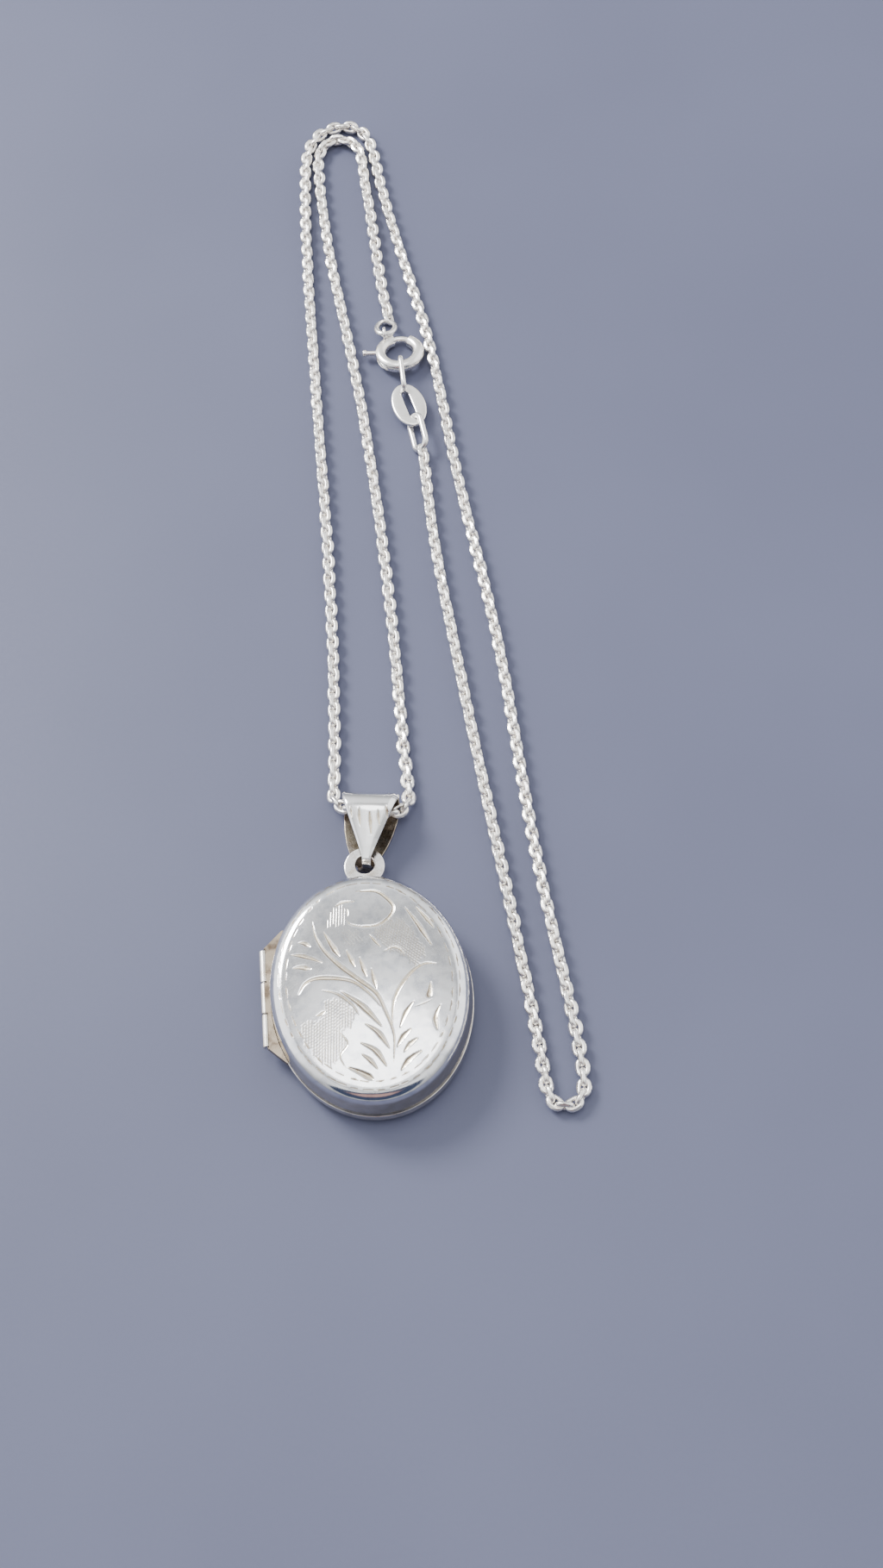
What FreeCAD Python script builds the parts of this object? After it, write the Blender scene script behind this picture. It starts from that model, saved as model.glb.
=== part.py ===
import FreeCAD, Part
import math
import os

V = FreeCAD.Vector
Z = V(0, 0, 1)

# An oval silver locket on an 18 inch trace chain, lying on a table, in millimetres.
# Origin: centre of the flat on the locket's back.  +Y runs towards the bail, +Z out of
# the front cover, and the hinge is on the -X side.  Z = 0 is the table.

# ---- locket covers: half sizes at the seam; the front wall leans in towards its shoulder.
# The long axis is turned a little (degrees) from the line between the eyelet and the origin.
HALF_WIDTH = 10.3
HALF_HEIGHT = 12.65
OVAL_CENTRE = V(-0.08, 0.16, 0)
OVAL_TURN = 3.7
SHEET = 0.45
SEAM_Z = 2.1
SEAM_GAP = 0.04
FACE_Z = 6.6
DOME_RADIUS = 75.0
BACK_SHOULDER = 1.3
FRONT_SHOULDER = 1.6
SHOULDER_INSET = 1.85
SEAM_ROUND = 0.12

# ---- closing lip, bezels, windows and picture blanks
LIP_THICK = 0.35
LIP_CLEARANCE = 0.13
LIP_LOW_Z = 1.45
LIP_TOP_Z = 2.5
BEZEL_FACE = 1.05
BEZEL_RIM = 0.3
BEZEL_FLANGE = 0.4
BEZEL_DEPTH = 0.95
WINDOW_THICK = 0.22
CARD_THICK = 0.16
STACK_GAP = 0.02
BACK_BEZEL_TOP_Z = 1.9
FRONT_BEZEL_LOW_Z = 2.65
FRONT_BEZEL_INSET = 0.82

# ---- hinge: three knuckles on one pin, with bearer strips against the curved wall
HINGE_X = -10.9
HINGE_MID_Y = 1.0
BARREL_LENGTH = 10.6
BARREL_RADIUS = 0.45
PIN_RADIUS = 0.25
PIN_CLEARANCE = 0.03
KNUCKLE_GAP = 0.08
KNUCKLE_CHAMFER = 0.08
MIDDLE_KNUCKLE = 3.4
BEARER_LENGTH = 14.4
BEARER_THICK = 0.45
BEARER_WALL_X = -8.9
NOTCH_CLEARANCE = 0.06

# ---- eyelet lug on the back cover, and the folded bail through it
LUG_CENTRE = V(0, 14.95, 0)
LUG_RADIUS = 2.15
LUG_NECK_HALF = 1.65
LUG_LOW_Z = 1.15
LUG_THICK = 0.8
LUG_ROUND = 0.15
EYE_CENTRE = V(0.05, 15.1, 0)
EYE_RADIUS = 1.0
BAIL_PIVOT = V(0.1, 15.05, 0)
BAIL_LEAN = -8.5
BAIL_SHEET = 0.45
FOLD_Y = 6.0
FOLD_Z = 2.25
FOLD_RADIUS = 1.8
BAR_Y = 0.3
FRONT_LEAF_LOW_Z = 2.35
BAIL_TIP_HALF = 0.42
BAIL_TOP_HALF = 2.95

# ---- bolt ring clasp, built flat about its own centre and then leant on its link
RING_CENTRE = V(8.1, 81.85, 1.02)
RING_LEAN = -8.0
RING_RADIUS = 2.25
RING_TUBE = 0.7
RING_BORE = 0.46
TONGUE_WIRE = 0.38
GAP_START, GAP_END = 55.0, 105.0
TONGUE_START, TONGUE_END = 45.0, 190.0
SPRING_START, SPRING_END = 192.0, 300.0
SPRING_WIRE = 0.36
LEVER_ANGLE = 174.0
LEVER_TRAVEL = 50.0
LEVER_HALF = 0.3
LEVER_REACH = 4.35
KNOB_HALF = 0.42
KNOB_LENGTH = 0.5
KNOB_ROUND = 0.15
CLASP_EYE_ANGLE = 124.0
CLASP_EYE_RADIUS = 0.68
CLASP_EYE_WIRE = 0.2
CLASP_EYE_OFFSET = 1.14
CLASP_EYE_RISE = 60.0

# ---- tag and the small rings on the clasp
TAG_CENTRE = V(8.7, 74.05, 1.08)
TAG_TURN = 14.0
TAG_HALF_LENGTH = 3.1
TAG_HALF_WIDTH = 1.95
TAG_THICK = 0.46
TAG_ROUND = 0.12
SLOT_HALF_LENGTH = 2.4
SLOT_HALF_WIDTH = 0.6
RING_WIRE = 0.3

# ---- chain, laid on the table as one closed loop from the clasp round to the tag
CHAIN_DIAMETER = 1.5
LAID_Z = 0.77
BAIL_Z = 1.6
ARC_SHARE = 0.45
CHAIN_ROUTE = [
    # from the clasp up the inner strand
    (7.1, 87.8, LAID_Z), (6.75, 90.2, LAID_Z), (6.4, 94.6, LAID_Z), (6.15, 100.4, LAID_Z),
    (5.75, 106.0, LAID_Z), (5.5, 110.4, LAID_Z),
    # inner bend at the top
    (5.4, 114.1, LAID_Z), (4.0, 116.2, LAID_Z), (1.7, 116.5, LAID_Z), (0.1, 114.7, LAID_Z),
    # down the inner strand to the bail
    (-0.15, 111.5, LAID_Z), (0.05, 106.2, LAID_Z), (0.5, 98.5, LAID_Z), (1.55, 89.2, LAID_Z),
    (2.6, 80.5, LAID_Z), (3.45, 71.0, LAID_Z), (4.1, 61.0, LAID_Z), (4.6, 50.5, LAID_Z),
    (4.85, 41.0, LAID_Z), (4.95, 33.5, LAID_Z), (5.0, 28.7, LAID_Z), (5.15, 25.4, LAID_Z),
    (5.25, 23.0, 0.95), (4.95, 21.6, 1.3),
    # across inside the bail
    (3.4, 20.85, 1.5), (1.6, 21.1, BAIL_Z), (-0.3, 21.55, BAIL_Z),
    (-1.85, 22.0, BAIL_Z), (-2.95, 23.2, 1.1), (-2.75, 25.2, LAID_Z),
    # up the outer strand
    (-2.5, 28.6, LAID_Z), (-2.25, 34.0, LAID_Z), (-2.0, 41.0, LAID_Z), (-1.85, 50.5, LAID_Z),
    (-1.9, 61.5, LAID_Z), (-2.05, 73.0, LAID_Z), (-2.15, 84.5, LAID_Z), (-2.2, 95.0, LAID_Z),
    (-2.1, 103.5, LAID_Z), (-1.85, 109.5, LAID_Z), (-1.6, 113.6, LAID_Z),
    # outer bend at the top
    (-0.5, 116.8, LAID_Z), (2.0, 118.5, LAID_Z), (4.9, 118.3, LAID_Z), (6.6, 115.9, LAID_Z),
    # the long outer strand down the right
    (7.05, 112.0, LAID_Z), (7.75, 106.2, LAID_Z), (9.05, 98.4, LAID_Z), (10.6, 90.2, LAID_Z),
    (11.95, 82.0, LAID_Z), (12.75, 72.5, LAID_Z), (13.6, 63.0, LAID_Z), (14.9, 53.0, LAID_Z),
    (16.1, 43.5, LAID_Z), (16.85, 33.5, LAID_Z), (17.4, 23.5, LAID_Z), (18.15, 13.0, LAID_Z),
    (19.2, 3.5, LAID_Z), (19.95, -3.0, LAID_Z), (20.3, -7.0, LAID_Z), (20.45, -9.6, LAID_Z),
    # tight bend at the bottom
    (20.3, -11.65, LAID_Z), (19.2, -12.75, LAID_Z), (17.7, -12.7, LAID_Z), (16.65, -11.6, LAID_Z),
    # back up to the tag
    (16.55, -9.2, LAID_Z), (16.25, -5.4, LAID_Z), (15.6, 1.2, LAID_Z), (14.75, 9.5, LAID_Z),
    (13.8, 18.5, LAID_Z), (12.75, 28.0, LAID_Z), (11.75, 38.5, LAID_Z), (10.8, 48.0, LAID_Z),
    (10.15, 56.5, LAID_Z), (9.95, 62.3, LAID_Z), (9.85, 67.2, LAID_Z),
]


def save(node, shape):
    shape.exportStep("parts/" + node + ".step")
    print(node, "solids", len(shape.Solids), "volume", round(shape.Volume, 4), "valid", shape.isValid())


def oval_face(half_width, half_height, z):
    """Elliptical face at height z."""
    curve = Part.Ellipse(V(0, half_height, z), V(half_width, 0, z), V(0, 0, z))
    return Part.Face(Part.Wire(curve.toShape()))


def seated(shape):
    """An oval made about the origin, moved to the covers' centre and turned to their long axis."""
    seat = FreeCAD.Placement(OVAL_CENTRE, FreeCAD.Rotation(Z, OVAL_TURN))
    return shape.transformed(seat.toMatrix(), True)


def oval_slab(inset, low_z, high_z):
    """Elliptical slab whose edge lies inset from the locket's outline."""
    face = oval_face(HALF_WIDTH - inset, HALF_HEIGHT - inset, low_z)
    return seated(face.extrude(V(0, 0, high_z - low_z)))


def oval_ring(outer_inset, inner_inset, low_z, high_z):
    return oval_slab(outer_inset, low_z, high_z).cut(oval_slab(inner_inset, low_z, high_z))


def edges_at(shape, test):
    return [edge for edge in shape.Edges if test(edge.BoundBox)]


def back_tray(inset, low_z, shoulder):
    """Slab with its bottom edge rounded, from low_z to the seam."""
    slab = oval_slab(inset, low_z, SEAM_Z)
    return slab.makeFillet(shoulder, edges_at(slab, lambda box: box.ZMax < low_z + 0.01))


def front_dome(inset, low_z, shoulder):
    """Turned dome with a round shoulder and a leaning wall, stretched along Y into an oval."""
    half_width = HALF_WIDTH - inset
    ball = DOME_RADIUS - inset
    ball_z = FACE_Z - DOME_RADIUS
    bend_x = HALF_WIDTH - SHOULDER_INSET
    bend_z = ball_z + math.sqrt((ball - shoulder) ** 2 - bend_x ** 2)
    bend = V(bend_x, 0, bend_z)
    foot, rim = V(0, 0, low_z), V(half_width, 0, low_z)
    to_rim = rim - bend
    wall_angle = math.atan2(to_rim.z, to_rim.x) + math.acos(shoulder / to_rim.Length)
    wall_side = V(math.cos(wall_angle), 0, math.sin(wall_angle))
    face_side = V(bend_x, 0, bend_z - ball_z).normalize()
    wall_top = bend + wall_side * shoulder
    corner = bend + (wall_side + face_side).normalize() * shoulder
    tangent = face_side * ball + Z * ball_z
    crown = V(tangent.x / 2, 0, ball_z + math.sqrt(ball ** 2 - tangent.x ** 2 / 4))
    top = V(0, 0, ball_z + ball)
    edges = [
        Part.LineSegment(foot, rim).toShape(),
        Part.LineSegment(rim, wall_top).toShape(),
        Part.Arc(wall_top, corner, tangent).toShape(),
        Part.Arc(tangent, crown, top).toShape(),
        Part.LineSegment(top, foot).toShape(),
    ]
    turned = Part.Face(Part.Wire(edges)).revolve(V(0, 0, 0), Z, 360)
    stretch = FreeCAD.Matrix()
    stretch.scale(V(1, (HALF_HEIGHT - inset) / half_width, 1))
    return seated(Part.Solid(turned.transformGeometry(stretch)))


def knuckle_spans():
    """Y ranges of the lower, middle and upper knuckles."""
    low = HINGE_MID_Y - BARREL_LENGTH / 2
    high = HINGE_MID_Y + BARREL_LENGTH / 2
    middle_low = HINGE_MID_Y - MIDDLE_KNUCKLE / 2
    middle_high = HINGE_MID_Y + MIDDLE_KNUCKLE / 2
    return [(low, middle_low), (middle_low, middle_high), (middle_high, high)]


def y_rod(radius, low_y, high_y):
    return Part.makeCylinder(radius, high_y - low_y, V(HINGE_X, low_y, SEAM_Z), V(0, 1, 0))


def knuckle(span):
    """One tube of the hinge barrel, a hair shorter than its span, with broken end edges."""
    low, high = span[0] + KNUCKLE_GAP / 2, span[1] - KNUCKLE_GAP / 2
    rod = y_rod(BARREL_RADIUS, low, high)
    rod = rod.makeChamfer(KNUCKLE_CHAMFER, edges_at(rod, lambda box: box.YLength < 0.01))
    return rod.cut(y_rod(PIN_RADIUS + PIN_CLEARANCE, low - 1, high + 1))


def bearer(low_z, high_z, cover, own_spans, other_spans):
    """Strip that fills the space between the straight barrel and the curved wall of a cover."""
    half = BEARER_LENGTH / 2
    straight = BARREL_LENGTH / 2
    corners = [(HINGE_X, -straight), (HINGE_X, straight), (BEARER_WALL_X, half),
               (-6.0, half), (-6.0, -half), (BEARER_WALL_X, -half)]
    points = [V(x, HINGE_MID_Y + y, low_z) for x, y in corners]
    strip = Part.Face(Part.makePolygon(points + points[:1])).extrude(V(0, 0, high_z - low_z))
    strip = min(strip.cut(cover).Solids, key=lambda piece: piece.BoundBox.XMin)
    for low, high in other_spans:
        strip = strip.cut(y_rod(BARREL_RADIUS + NOTCH_CLEARANCE, low - KNUCKLE_GAP, high + KNUCKLE_GAP))
    for low, high in own_spans:
        strip = strip.cut(y_rod(BARREL_RADIUS, low, high))
    return strip


def bezel(low_z, high_z, outer_inset, flange_low_z):
    """Picture frame: a thin rim with a flange that holds the window down."""
    rim = oval_ring(outer_inset, outer_inset + BEZEL_RIM, low_z, high_z)
    flange = oval_ring(outer_inset, outer_inset + BEZEL_FACE, flange_low_z, flange_low_z + BEZEL_FLANGE)
    return rim.fuse(flange).removeSplitter()


def hanging_eyelet():
    """Round tab with a hole, soldered to the top of the back cover."""
    tab = Part.makeCylinder(LUG_RADIUS, LUG_THICK, LUG_CENTRE + Z * LUG_LOW_Z)
    neck = Part.makeBox(2 * LUG_NECK_HALF, 5, LUG_THICK, V(-LUG_NECK_HALF, LUG_CENTRE.y - 5, LUG_LOW_Z))
    hole = Part.makeCylinder(EYE_RADIUS, 3, EYE_CENTRE)
    solid = tab.fuse(neck).cut(hole).removeSplitter()
    solid = solid.makeFillet(LUG_ROUND, edges_at(solid, lambda box: box.ZLength < 0.01 and box.YMax > 11))
    solid = solid.cut(oval_slab(0, 0, SEAM_Z + 1))
    return max(solid.Solids, key=lambda piece: piece.BoundBox.YMax)


def bail_side(extra):
    """Side profile of the loop inside the bail, grown by extra, as a face in the YZ plane."""
    low = V(0, BAR_Y, BAIL_SHEET)
    low_fold = V(0, FOLD_Y, FOLD_Z - FOLD_RADIUS)
    crest = V(0, FOLD_Y + FOLD_RADIUS, FOLD_Z)
    high_fold = V(0, FOLD_Y, FOLD_Z + FOLD_RADIUS)
    high = V(0, BAR_Y, FRONT_LEAF_LOW_Z)
    edges = [
        Part.LineSegment(low, low_fold).toShape(),
        Part.Arc(low_fold, crest, high_fold).toShape(),
        Part.LineSegment(high_fold, high).toShape(),
        Part.LineSegment(high, low).toShape(),
    ]
    face = Part.Face(Part.Wire(edges))
    return face.makeOffset2D(extra) if extra else face


def bail():
    """Tapered strip folded into a loop: straight-sided front leaf, bellied back leaf."""
    width = 2 * BAIL_TOP_HALF + 1
    loop = bail_side(BAIL_SHEET).cut(bail_side(0)).extrude(V(width, 0, 0))
    loop.translate(V(-width / 2, 0, 0))
    tip_y, top_y = -0.3, FOLD_Y + FOLD_RADIUS + BAIL_SHEET + 0.1
    front = [V(-BAIL_TIP_HALF, tip_y, FOLD_Z), V(-BAIL_TOP_HALF, top_y, FOLD_Z),
             V(BAIL_TOP_HALF, top_y, FOLD_Z), V(BAIL_TIP_HALF, tip_y, FOLD_Z)]
    front_prism = Part.Face(Part.makePolygon(front + front[:1])).extrude(V(0, 0, 5))
    left = [V(-BAIL_TIP_HALF, tip_y, 0), V(-2.2, 3.0, 0), V(-BAIL_TOP_HALF, 7.2, 0)]
    right = [V(BAIL_TIP_HALF, tip_y, 0), V(2.2, 3.0, 0), V(BAIL_TOP_HALF, 7.2, 0)]
    left_top, right_top = V(-BAIL_TOP_HALF, top_y, 0), V(BAIL_TOP_HALF, top_y, 0)
    back_edges = [
        Part.Arc(left[0], left[1], left[2]).toShape(),
        Part.LineSegment(left[2], left_top).toShape(),
        Part.LineSegment(left_top, right_top).toShape(),
        Part.LineSegment(right_top, right[2]).toShape(),
        Part.Arc(right[2], right[1], right[0]).toShape(),
        Part.LineSegment(right[0], left[0]).toShape(),
    ]
    back_prism = Part.Face(Part.Wire(back_edges)).extrude(V(0, 0, FOLD_Z))
    shape = loop.common(front_prism).fuse(loop.common(back_prism)).removeSplitter()
    shape.rotate(V(0, 0, 0), Z, BAIL_LEAN)
    shape.translate(BAIL_PIVOT)
    return shape.Solids[0]


def ring_arc(wire, start, end):
    """Arc of round wire about the bolt ring's centre, in the ring's own frame."""
    torus = Part.makeTorus(RING_RADIUS, wire, V(0, 0, 0), Z, -180, 180, end - start)
    torus.rotate(V(0, 0, 0), Z, start)
    return torus


def place_ring(shape):
    """Lean the bolt ring on the link below it and set it down at its place."""
    shape.rotate(V(0, 0, 0), V(1, 0, 0), RING_LEAN)
    shape.translate(RING_CENTRE)
    return shape


def on_ring(angle, radius, z=0.0):
    return V(radius * math.cos(math.radians(angle)), radius * math.sin(math.radians(angle)), z)


def lever_slot():
    """Window in the outer wall of the tube that the thumb lever travels along."""
    margin = 14.0
    start = LEVER_ANGLE - margin
    sweep = LEVER_TRAVEL + 2 * margin
    outer = Part.makeCylinder(RING_RADIUS + 2, 2 * RING_BORE, V(0, 0, -RING_BORE), Z, sweep)
    inner = Part.makeCylinder(RING_RADIUS, 2 * RING_BORE, V(0, 0, -RING_BORE), Z, sweep)
    slot = outer.cut(inner)
    slot.rotate(V(0, 0, 0), Z, start)
    return slot


def bolt_ring_body():
    tube = ring_arc(RING_TUBE, GAP_END, GAP_START + 360)
    bore = ring_arc(RING_BORE, GAP_END, GAP_START + 360)
    return tube.cut(bore).cut(lever_slot())


def thumb_lever():
    """Round stem standing out of the slot, with a rounded knob at its end."""
    inner = RING_RADIUS + 0.25
    outward = on_ring(LEVER_ANGLE, 1)
    stem_length = LEVER_REACH - KNOB_LENGTH / 2 - inner
    stem = Part.makeCylinder(LEVER_HALF, stem_length, on_ring(LEVER_ANGLE, inner), outward)
    knob_start = on_ring(LEVER_ANGLE, LEVER_REACH - KNOB_LENGTH)
    knob = Part.makeCylinder(KNOB_HALF, KNOB_LENGTH, knob_start, outward)
    knob = knob.makeFillet(KNOB_ROUND, edges_at(knob, lambda box: box.YLength > KNOB_HALF))
    return stem.fuse(knob).removeSplitter()


def clasp_eye():
    """Upright loop soldered on the outer shoulder of the tube."""
    rise = math.radians(CLASP_EYE_RISE)
    radius = RING_RADIUS + CLASP_EYE_OFFSET * math.cos(rise)
    centre = on_ring(CLASP_EYE_ANGLE, radius, CLASP_EYE_OFFSET * math.sin(rise))
    loop = Part.makeTorus(CLASP_EYE_RADIUS, CLASP_EYE_WIRE, centre, V(1, 0, 0))
    return loop.cut(ring_arc(RING_TUBE, GAP_END, GAP_START + 360)).Solids[0]


def tube_through(points, radius):
    """Round tube along straight runs joined by tangent arcs; returns it with its length and radii."""
    edges = []
    radii = []
    last = points[0]
    for before, corner, after in zip(points, points[1:], points[2:]):
        inward, outward = before - corner, after - corner
        reach = ARC_SHARE * min(inward.Length, outward.Length)
        inward.normalize()
        outward.normalize()
        half_turn = (math.pi - inward.getAngle(outward)) / 2
        arc_radius = reach / math.tan(half_turn)
        start, end = corner + inward * reach, corner + outward * reach
        bisector = (inward + outward).normalize()
        middle = corner + bisector * (arc_radius / math.cos(half_turn) - arc_radius)
        edges += [Part.LineSegment(last, start).toShape(), Part.Arc(start, middle, end).toShape()]
        radii.append(arc_radius)
        last = end
    edges.append(Part.LineSegment(last, points[-1]).toShape())
    path = Part.Wire(edges)
    profile = Part.Wire(Part.Circle(points[0], points[1] - points[0], radius).toShape())
    return path.makePipeShell([profile], True, True), path.Length, radii


def oval_link(straight, bend, wire):
    """Racetrack ring of round wire, long axis along Y, lying in the XY plane about the origin."""
    half = straight / 2
    right_low, right_high = V(bend, -half, 0), V(bend, half, 0)
    left_low, left_high = V(-bend, -half, 0), V(-bend, half, 0)
    edges = [
        Part.LineSegment(right_low, right_high).toShape(),
        Part.Arc(right_high, V(0, half + bend, 0), left_high).toShape(),
        Part.LineSegment(left_high, left_low).toShape(),
        Part.Arc(left_low, V(0, -half - bend, 0), right_low).toShape(),
    ]
    profile = Part.Wire(Part.Circle(right_low, V(0, 1, 0), wire).toShape())
    return Part.Wire(edges).makePipeShell([profile], True, True)


def placed(shape, roll, pitch, turn, centre):
    """Roll about Y, pitch about X, turn about Z, then move to centre."""
    shape.rotate(V(0, 0, 0), V(0, 1, 0), roll)
    shape.rotate(V(0, 0, 0), V(1, 0, 0), pitch)
    shape.rotate(V(0, 0, 0), Z, turn)
    shape.translate(centre)
    return shape


def oval_tag():
    """Plain oval plate with a long slot."""
    curve = Part.Ellipse(V(0, TAG_HALF_LENGTH, 0), V(TAG_HALF_WIDTH, 0, 0), V(0, 0, 0))
    plate = Part.Face(Part.Wire(curve.toShape())).extrude(Z * TAG_THICK)
    ends = SLOT_HALF_LENGTH - SLOT_HALF_WIDTH
    slot = Part.makeBox(2 * SLOT_HALF_WIDTH, 2 * ends, 1, V(-SLOT_HALF_WIDTH, -ends, -0.2))
    for side in (-ends, ends):
        slot = slot.fuse(Part.makeCylinder(SLOT_HALF_WIDTH, 1, V(0, side, -0.2)))
    plate = plate.cut(slot).removeSplitter()
    plate = plate.makeFillet(TAG_ROUND, edges_at(plate, lambda box: box.ZLength < 0.01))
    plate.translate(V(0, 0, -TAG_THICK / 2))
    return placed(plate, 0, 0, TAG_TURN, TAG_CENTRE)


def make_covers():
    tray = back_tray(0, 0, BACK_SHOULDER)
    tray = tray.makeFillet(SEAM_ROUND, edges_at(tray, lambda box: box.ZMin > SEAM_Z - 0.01))
    save("back_cover", tray.cut(back_tray(SHEET, SHEET, BACK_SHOULDER - SHEET)))
    front_low = SEAM_Z + SEAM_GAP
    cavity = front_dome(SHEET, front_low, FRONT_SHOULDER - SHEET)
    save("front_cover", front_dome(0, front_low, FRONT_SHOULDER).cut(cavity))
    seat = oval_ring(SHEET, SHEET + LIP_THICK, LIP_LOW_Z, SEAM_Z)
    stand = oval_ring(SHEET + LIP_CLEARANCE, SHEET + LIP_THICK, SEAM_Z, LIP_TOP_Z)
    save("closing_lip", seat.fuse(stand).removeSplitter())


def make_frames():
    back_inset = SHEET + LIP_THICK + STACK_GAP
    back_low = BACK_BEZEL_TOP_Z - BEZEL_DEPTH
    flange_low = BACK_BEZEL_TOP_Z - BEZEL_FLANGE
    save("back_bezel", bezel(back_low, BACK_BEZEL_TOP_Z, back_inset, flange_low))
    glazing = back_inset + BEZEL_RIM + STACK_GAP
    window_low = flange_low - STACK_GAP - WINDOW_THICK
    save("back_window", oval_slab(glazing, window_low, window_low + WINDOW_THICK))
    card_low = window_low - STACK_GAP - CARD_THICK
    save("back_picture_blank", oval_slab(glazing, card_low, card_low + CARD_THICK))

    front_high = FRONT_BEZEL_LOW_Z + BEZEL_DEPTH
    save("front_bezel", bezel(FRONT_BEZEL_LOW_Z, front_high, FRONT_BEZEL_INSET, FRONT_BEZEL_LOW_Z))
    glazing = FRONT_BEZEL_INSET + BEZEL_RIM + STACK_GAP
    window_low = FRONT_BEZEL_LOW_Z + BEZEL_FLANGE + STACK_GAP
    save("front_window", oval_slab(glazing, window_low, window_low + WINDOW_THICK))
    card_low = window_low + WINDOW_THICK + STACK_GAP
    save("front_picture_blank", oval_slab(glazing, card_low, card_low + CARD_THICK))


def make_hinge():
    lower, middle, upper = knuckle_spans()
    save("hinge_knuckle_lower", knuckle(lower))
    save("hinge_knuckle_middle", knuckle(middle))
    save("hinge_knuckle_upper", knuckle(upper))
    save("hinge_pin", y_rod(PIN_RADIUS, lower[0] + KNUCKLE_GAP / 2, upper[1] - KNUCKLE_GAP / 2))
    back_low, back_high = SEAM_Z - BEARER_THICK, SEAM_Z - SEAM_GAP
    back_solid = oval_slab(0, 0, SEAM_Z)
    save("hinge_bearer_back", bearer(back_low, back_high, back_solid, [lower, upper], [middle]))
    front_low, front_high = SEAM_Z + SEAM_GAP, SEAM_Z + BEARER_THICK
    front_solid = front_dome(0, front_low, FRONT_SHOULDER)
    save("hinge_bearer_front", bearer(front_low, front_high, front_solid, [middle], [lower, upper]))


def make_clasp():
    save("bolt_ring_body", place_ring(bolt_ring_body()))
    save("bolt_ring_tongue", place_ring(ring_arc(TONGUE_WIRE, TONGUE_START, TONGUE_END)))
    save("bolt_ring_thumb_lever", place_ring(thumb_lever()))
    save("bolt_ring_spring", place_ring(ring_arc(SPRING_WIRE, SPRING_START, SPRING_END)))
    save("bolt_ring_eye", place_ring(clasp_eye()))
    save("clasp_jump_ring", placed(oval_link(1.0, 1.08, RING_WIRE), 0, -24, -8, V(6.72, 85.73, 1.04)))
    save("tag_connector_link", placed(oval_link(2.6, 1.02, 0.28), 90, 0, 2, V(8.25, 78.3, 1.33)))
    save("oval_tag", oval_tag())
    save("tag_jump_ring", placed(oval_link(2.6, 1.02, RING_WIRE), -50, 0, 8, V(9.44, 70.05, 1.09)))


def make_chain():
    route = [V(*point) for point in CHAIN_ROUTE]
    chain, length, radii = tube_through(route, CHAIN_DIAMETER / 2)
    expected = math.pi * (CHAIN_DIAMETER / 2) ** 2 * length
    print("chain length", round(length, 1), "volume ratio", round(chain.Volume / expected, 4))
    print("bend radii", [round(radius, 1) for radius in radii])
    save("trace_chain", chain)


os.makedirs("parts", exist_ok=True)
make_covers()
make_frames()
make_hinge()
save("hanging_eyelet", hanging_eyelet())
save("bail", bail())
make_clasp()
make_chain()
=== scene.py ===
import math
import random

import bpy
import numpy as np
from mathutils import Matrix, Vector, noise


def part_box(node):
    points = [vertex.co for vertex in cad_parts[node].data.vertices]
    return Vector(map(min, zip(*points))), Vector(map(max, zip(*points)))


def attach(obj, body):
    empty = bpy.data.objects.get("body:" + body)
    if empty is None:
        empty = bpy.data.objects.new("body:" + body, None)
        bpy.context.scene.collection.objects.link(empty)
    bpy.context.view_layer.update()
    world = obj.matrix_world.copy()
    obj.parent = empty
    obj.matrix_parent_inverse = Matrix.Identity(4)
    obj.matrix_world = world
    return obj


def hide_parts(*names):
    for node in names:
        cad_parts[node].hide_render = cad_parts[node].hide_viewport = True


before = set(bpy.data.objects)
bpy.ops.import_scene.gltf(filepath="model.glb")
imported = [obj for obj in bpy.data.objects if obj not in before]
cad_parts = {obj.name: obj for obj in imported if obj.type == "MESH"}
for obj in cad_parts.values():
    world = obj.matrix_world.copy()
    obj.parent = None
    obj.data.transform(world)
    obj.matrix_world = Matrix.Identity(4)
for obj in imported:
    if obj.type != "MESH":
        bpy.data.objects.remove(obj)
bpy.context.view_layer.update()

# An oval silver locket on a fine trace chain.  The frame is in metres; the shapes below are worked
# out in millimetres and scaled once, in mesh_piece.
MM = 0.001


# ==================== camera, light and floor

CAMERA_PLACE = (0.01191, -0.08131, 0.20779)
CAMERA_TURN = 0.03
CAMERA_TIP = math.radians(90 - 62.967)
CAMERA_ROLL = math.radians(-6.778)
CAMERA_LENS, CAMERA_SENSOR = 49.98, 36
WORLD_STRENGTH = 1.8
# brightness of the surroundings from the horizon (0) to straight overhead (1)
SKY_SHADES = [(0.0, 0.28), (0.2, 0.40), (0.5, 0.75), (0.72, 0.86), (0.80, 0.78), (0.855, 0.45), (0.88, 0.41),
              (0.905, 0.74), (0.95, 1.1)]
SKY_TINT = (0.97, 0.985, 1.0)
SIDE_GLOW = (1.25, 1.27, 1.3)
DIM_SHAPE = (0.035, 0.045, 0.08)
WARM_SHAPE = (0.34, 0.21, 0.19)
FLOOR_SIZE = 3
FLOOR_DROP = 0.00001


def make_camera():
    data = bpy.data.cameras.new("camera")
    data.sensor_width = CAMERA_SENSOR
    data.lens = CAMERA_LENS
    data.clip_start = 0.005
    camera = bpy.data.objects.new("camera", data)
    turn = Matrix.Rotation(CAMERA_TURN, 4, "Z")
    tip = Matrix.Rotation(CAMERA_TIP, 4, "X")
    roll = Matrix.Rotation(CAMERA_ROLL, 4, "Z")
    camera.matrix_world = Matrix.Translation(CAMERA_PLACE) @ turn @ tip @ roll
    bpy.context.collection.objects.link(camera)
    bpy.context.scene.camera = camera


def vector_maths(tree, operation, vector, constant=None):
    node = tree.nodes.new("ShaderNodeVectorMath")
    node.operation = operation
    tree.links.new(vector, node.inputs[0])
    if constant is not None:
        node.inputs[1].default_value = constant
    return node


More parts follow.
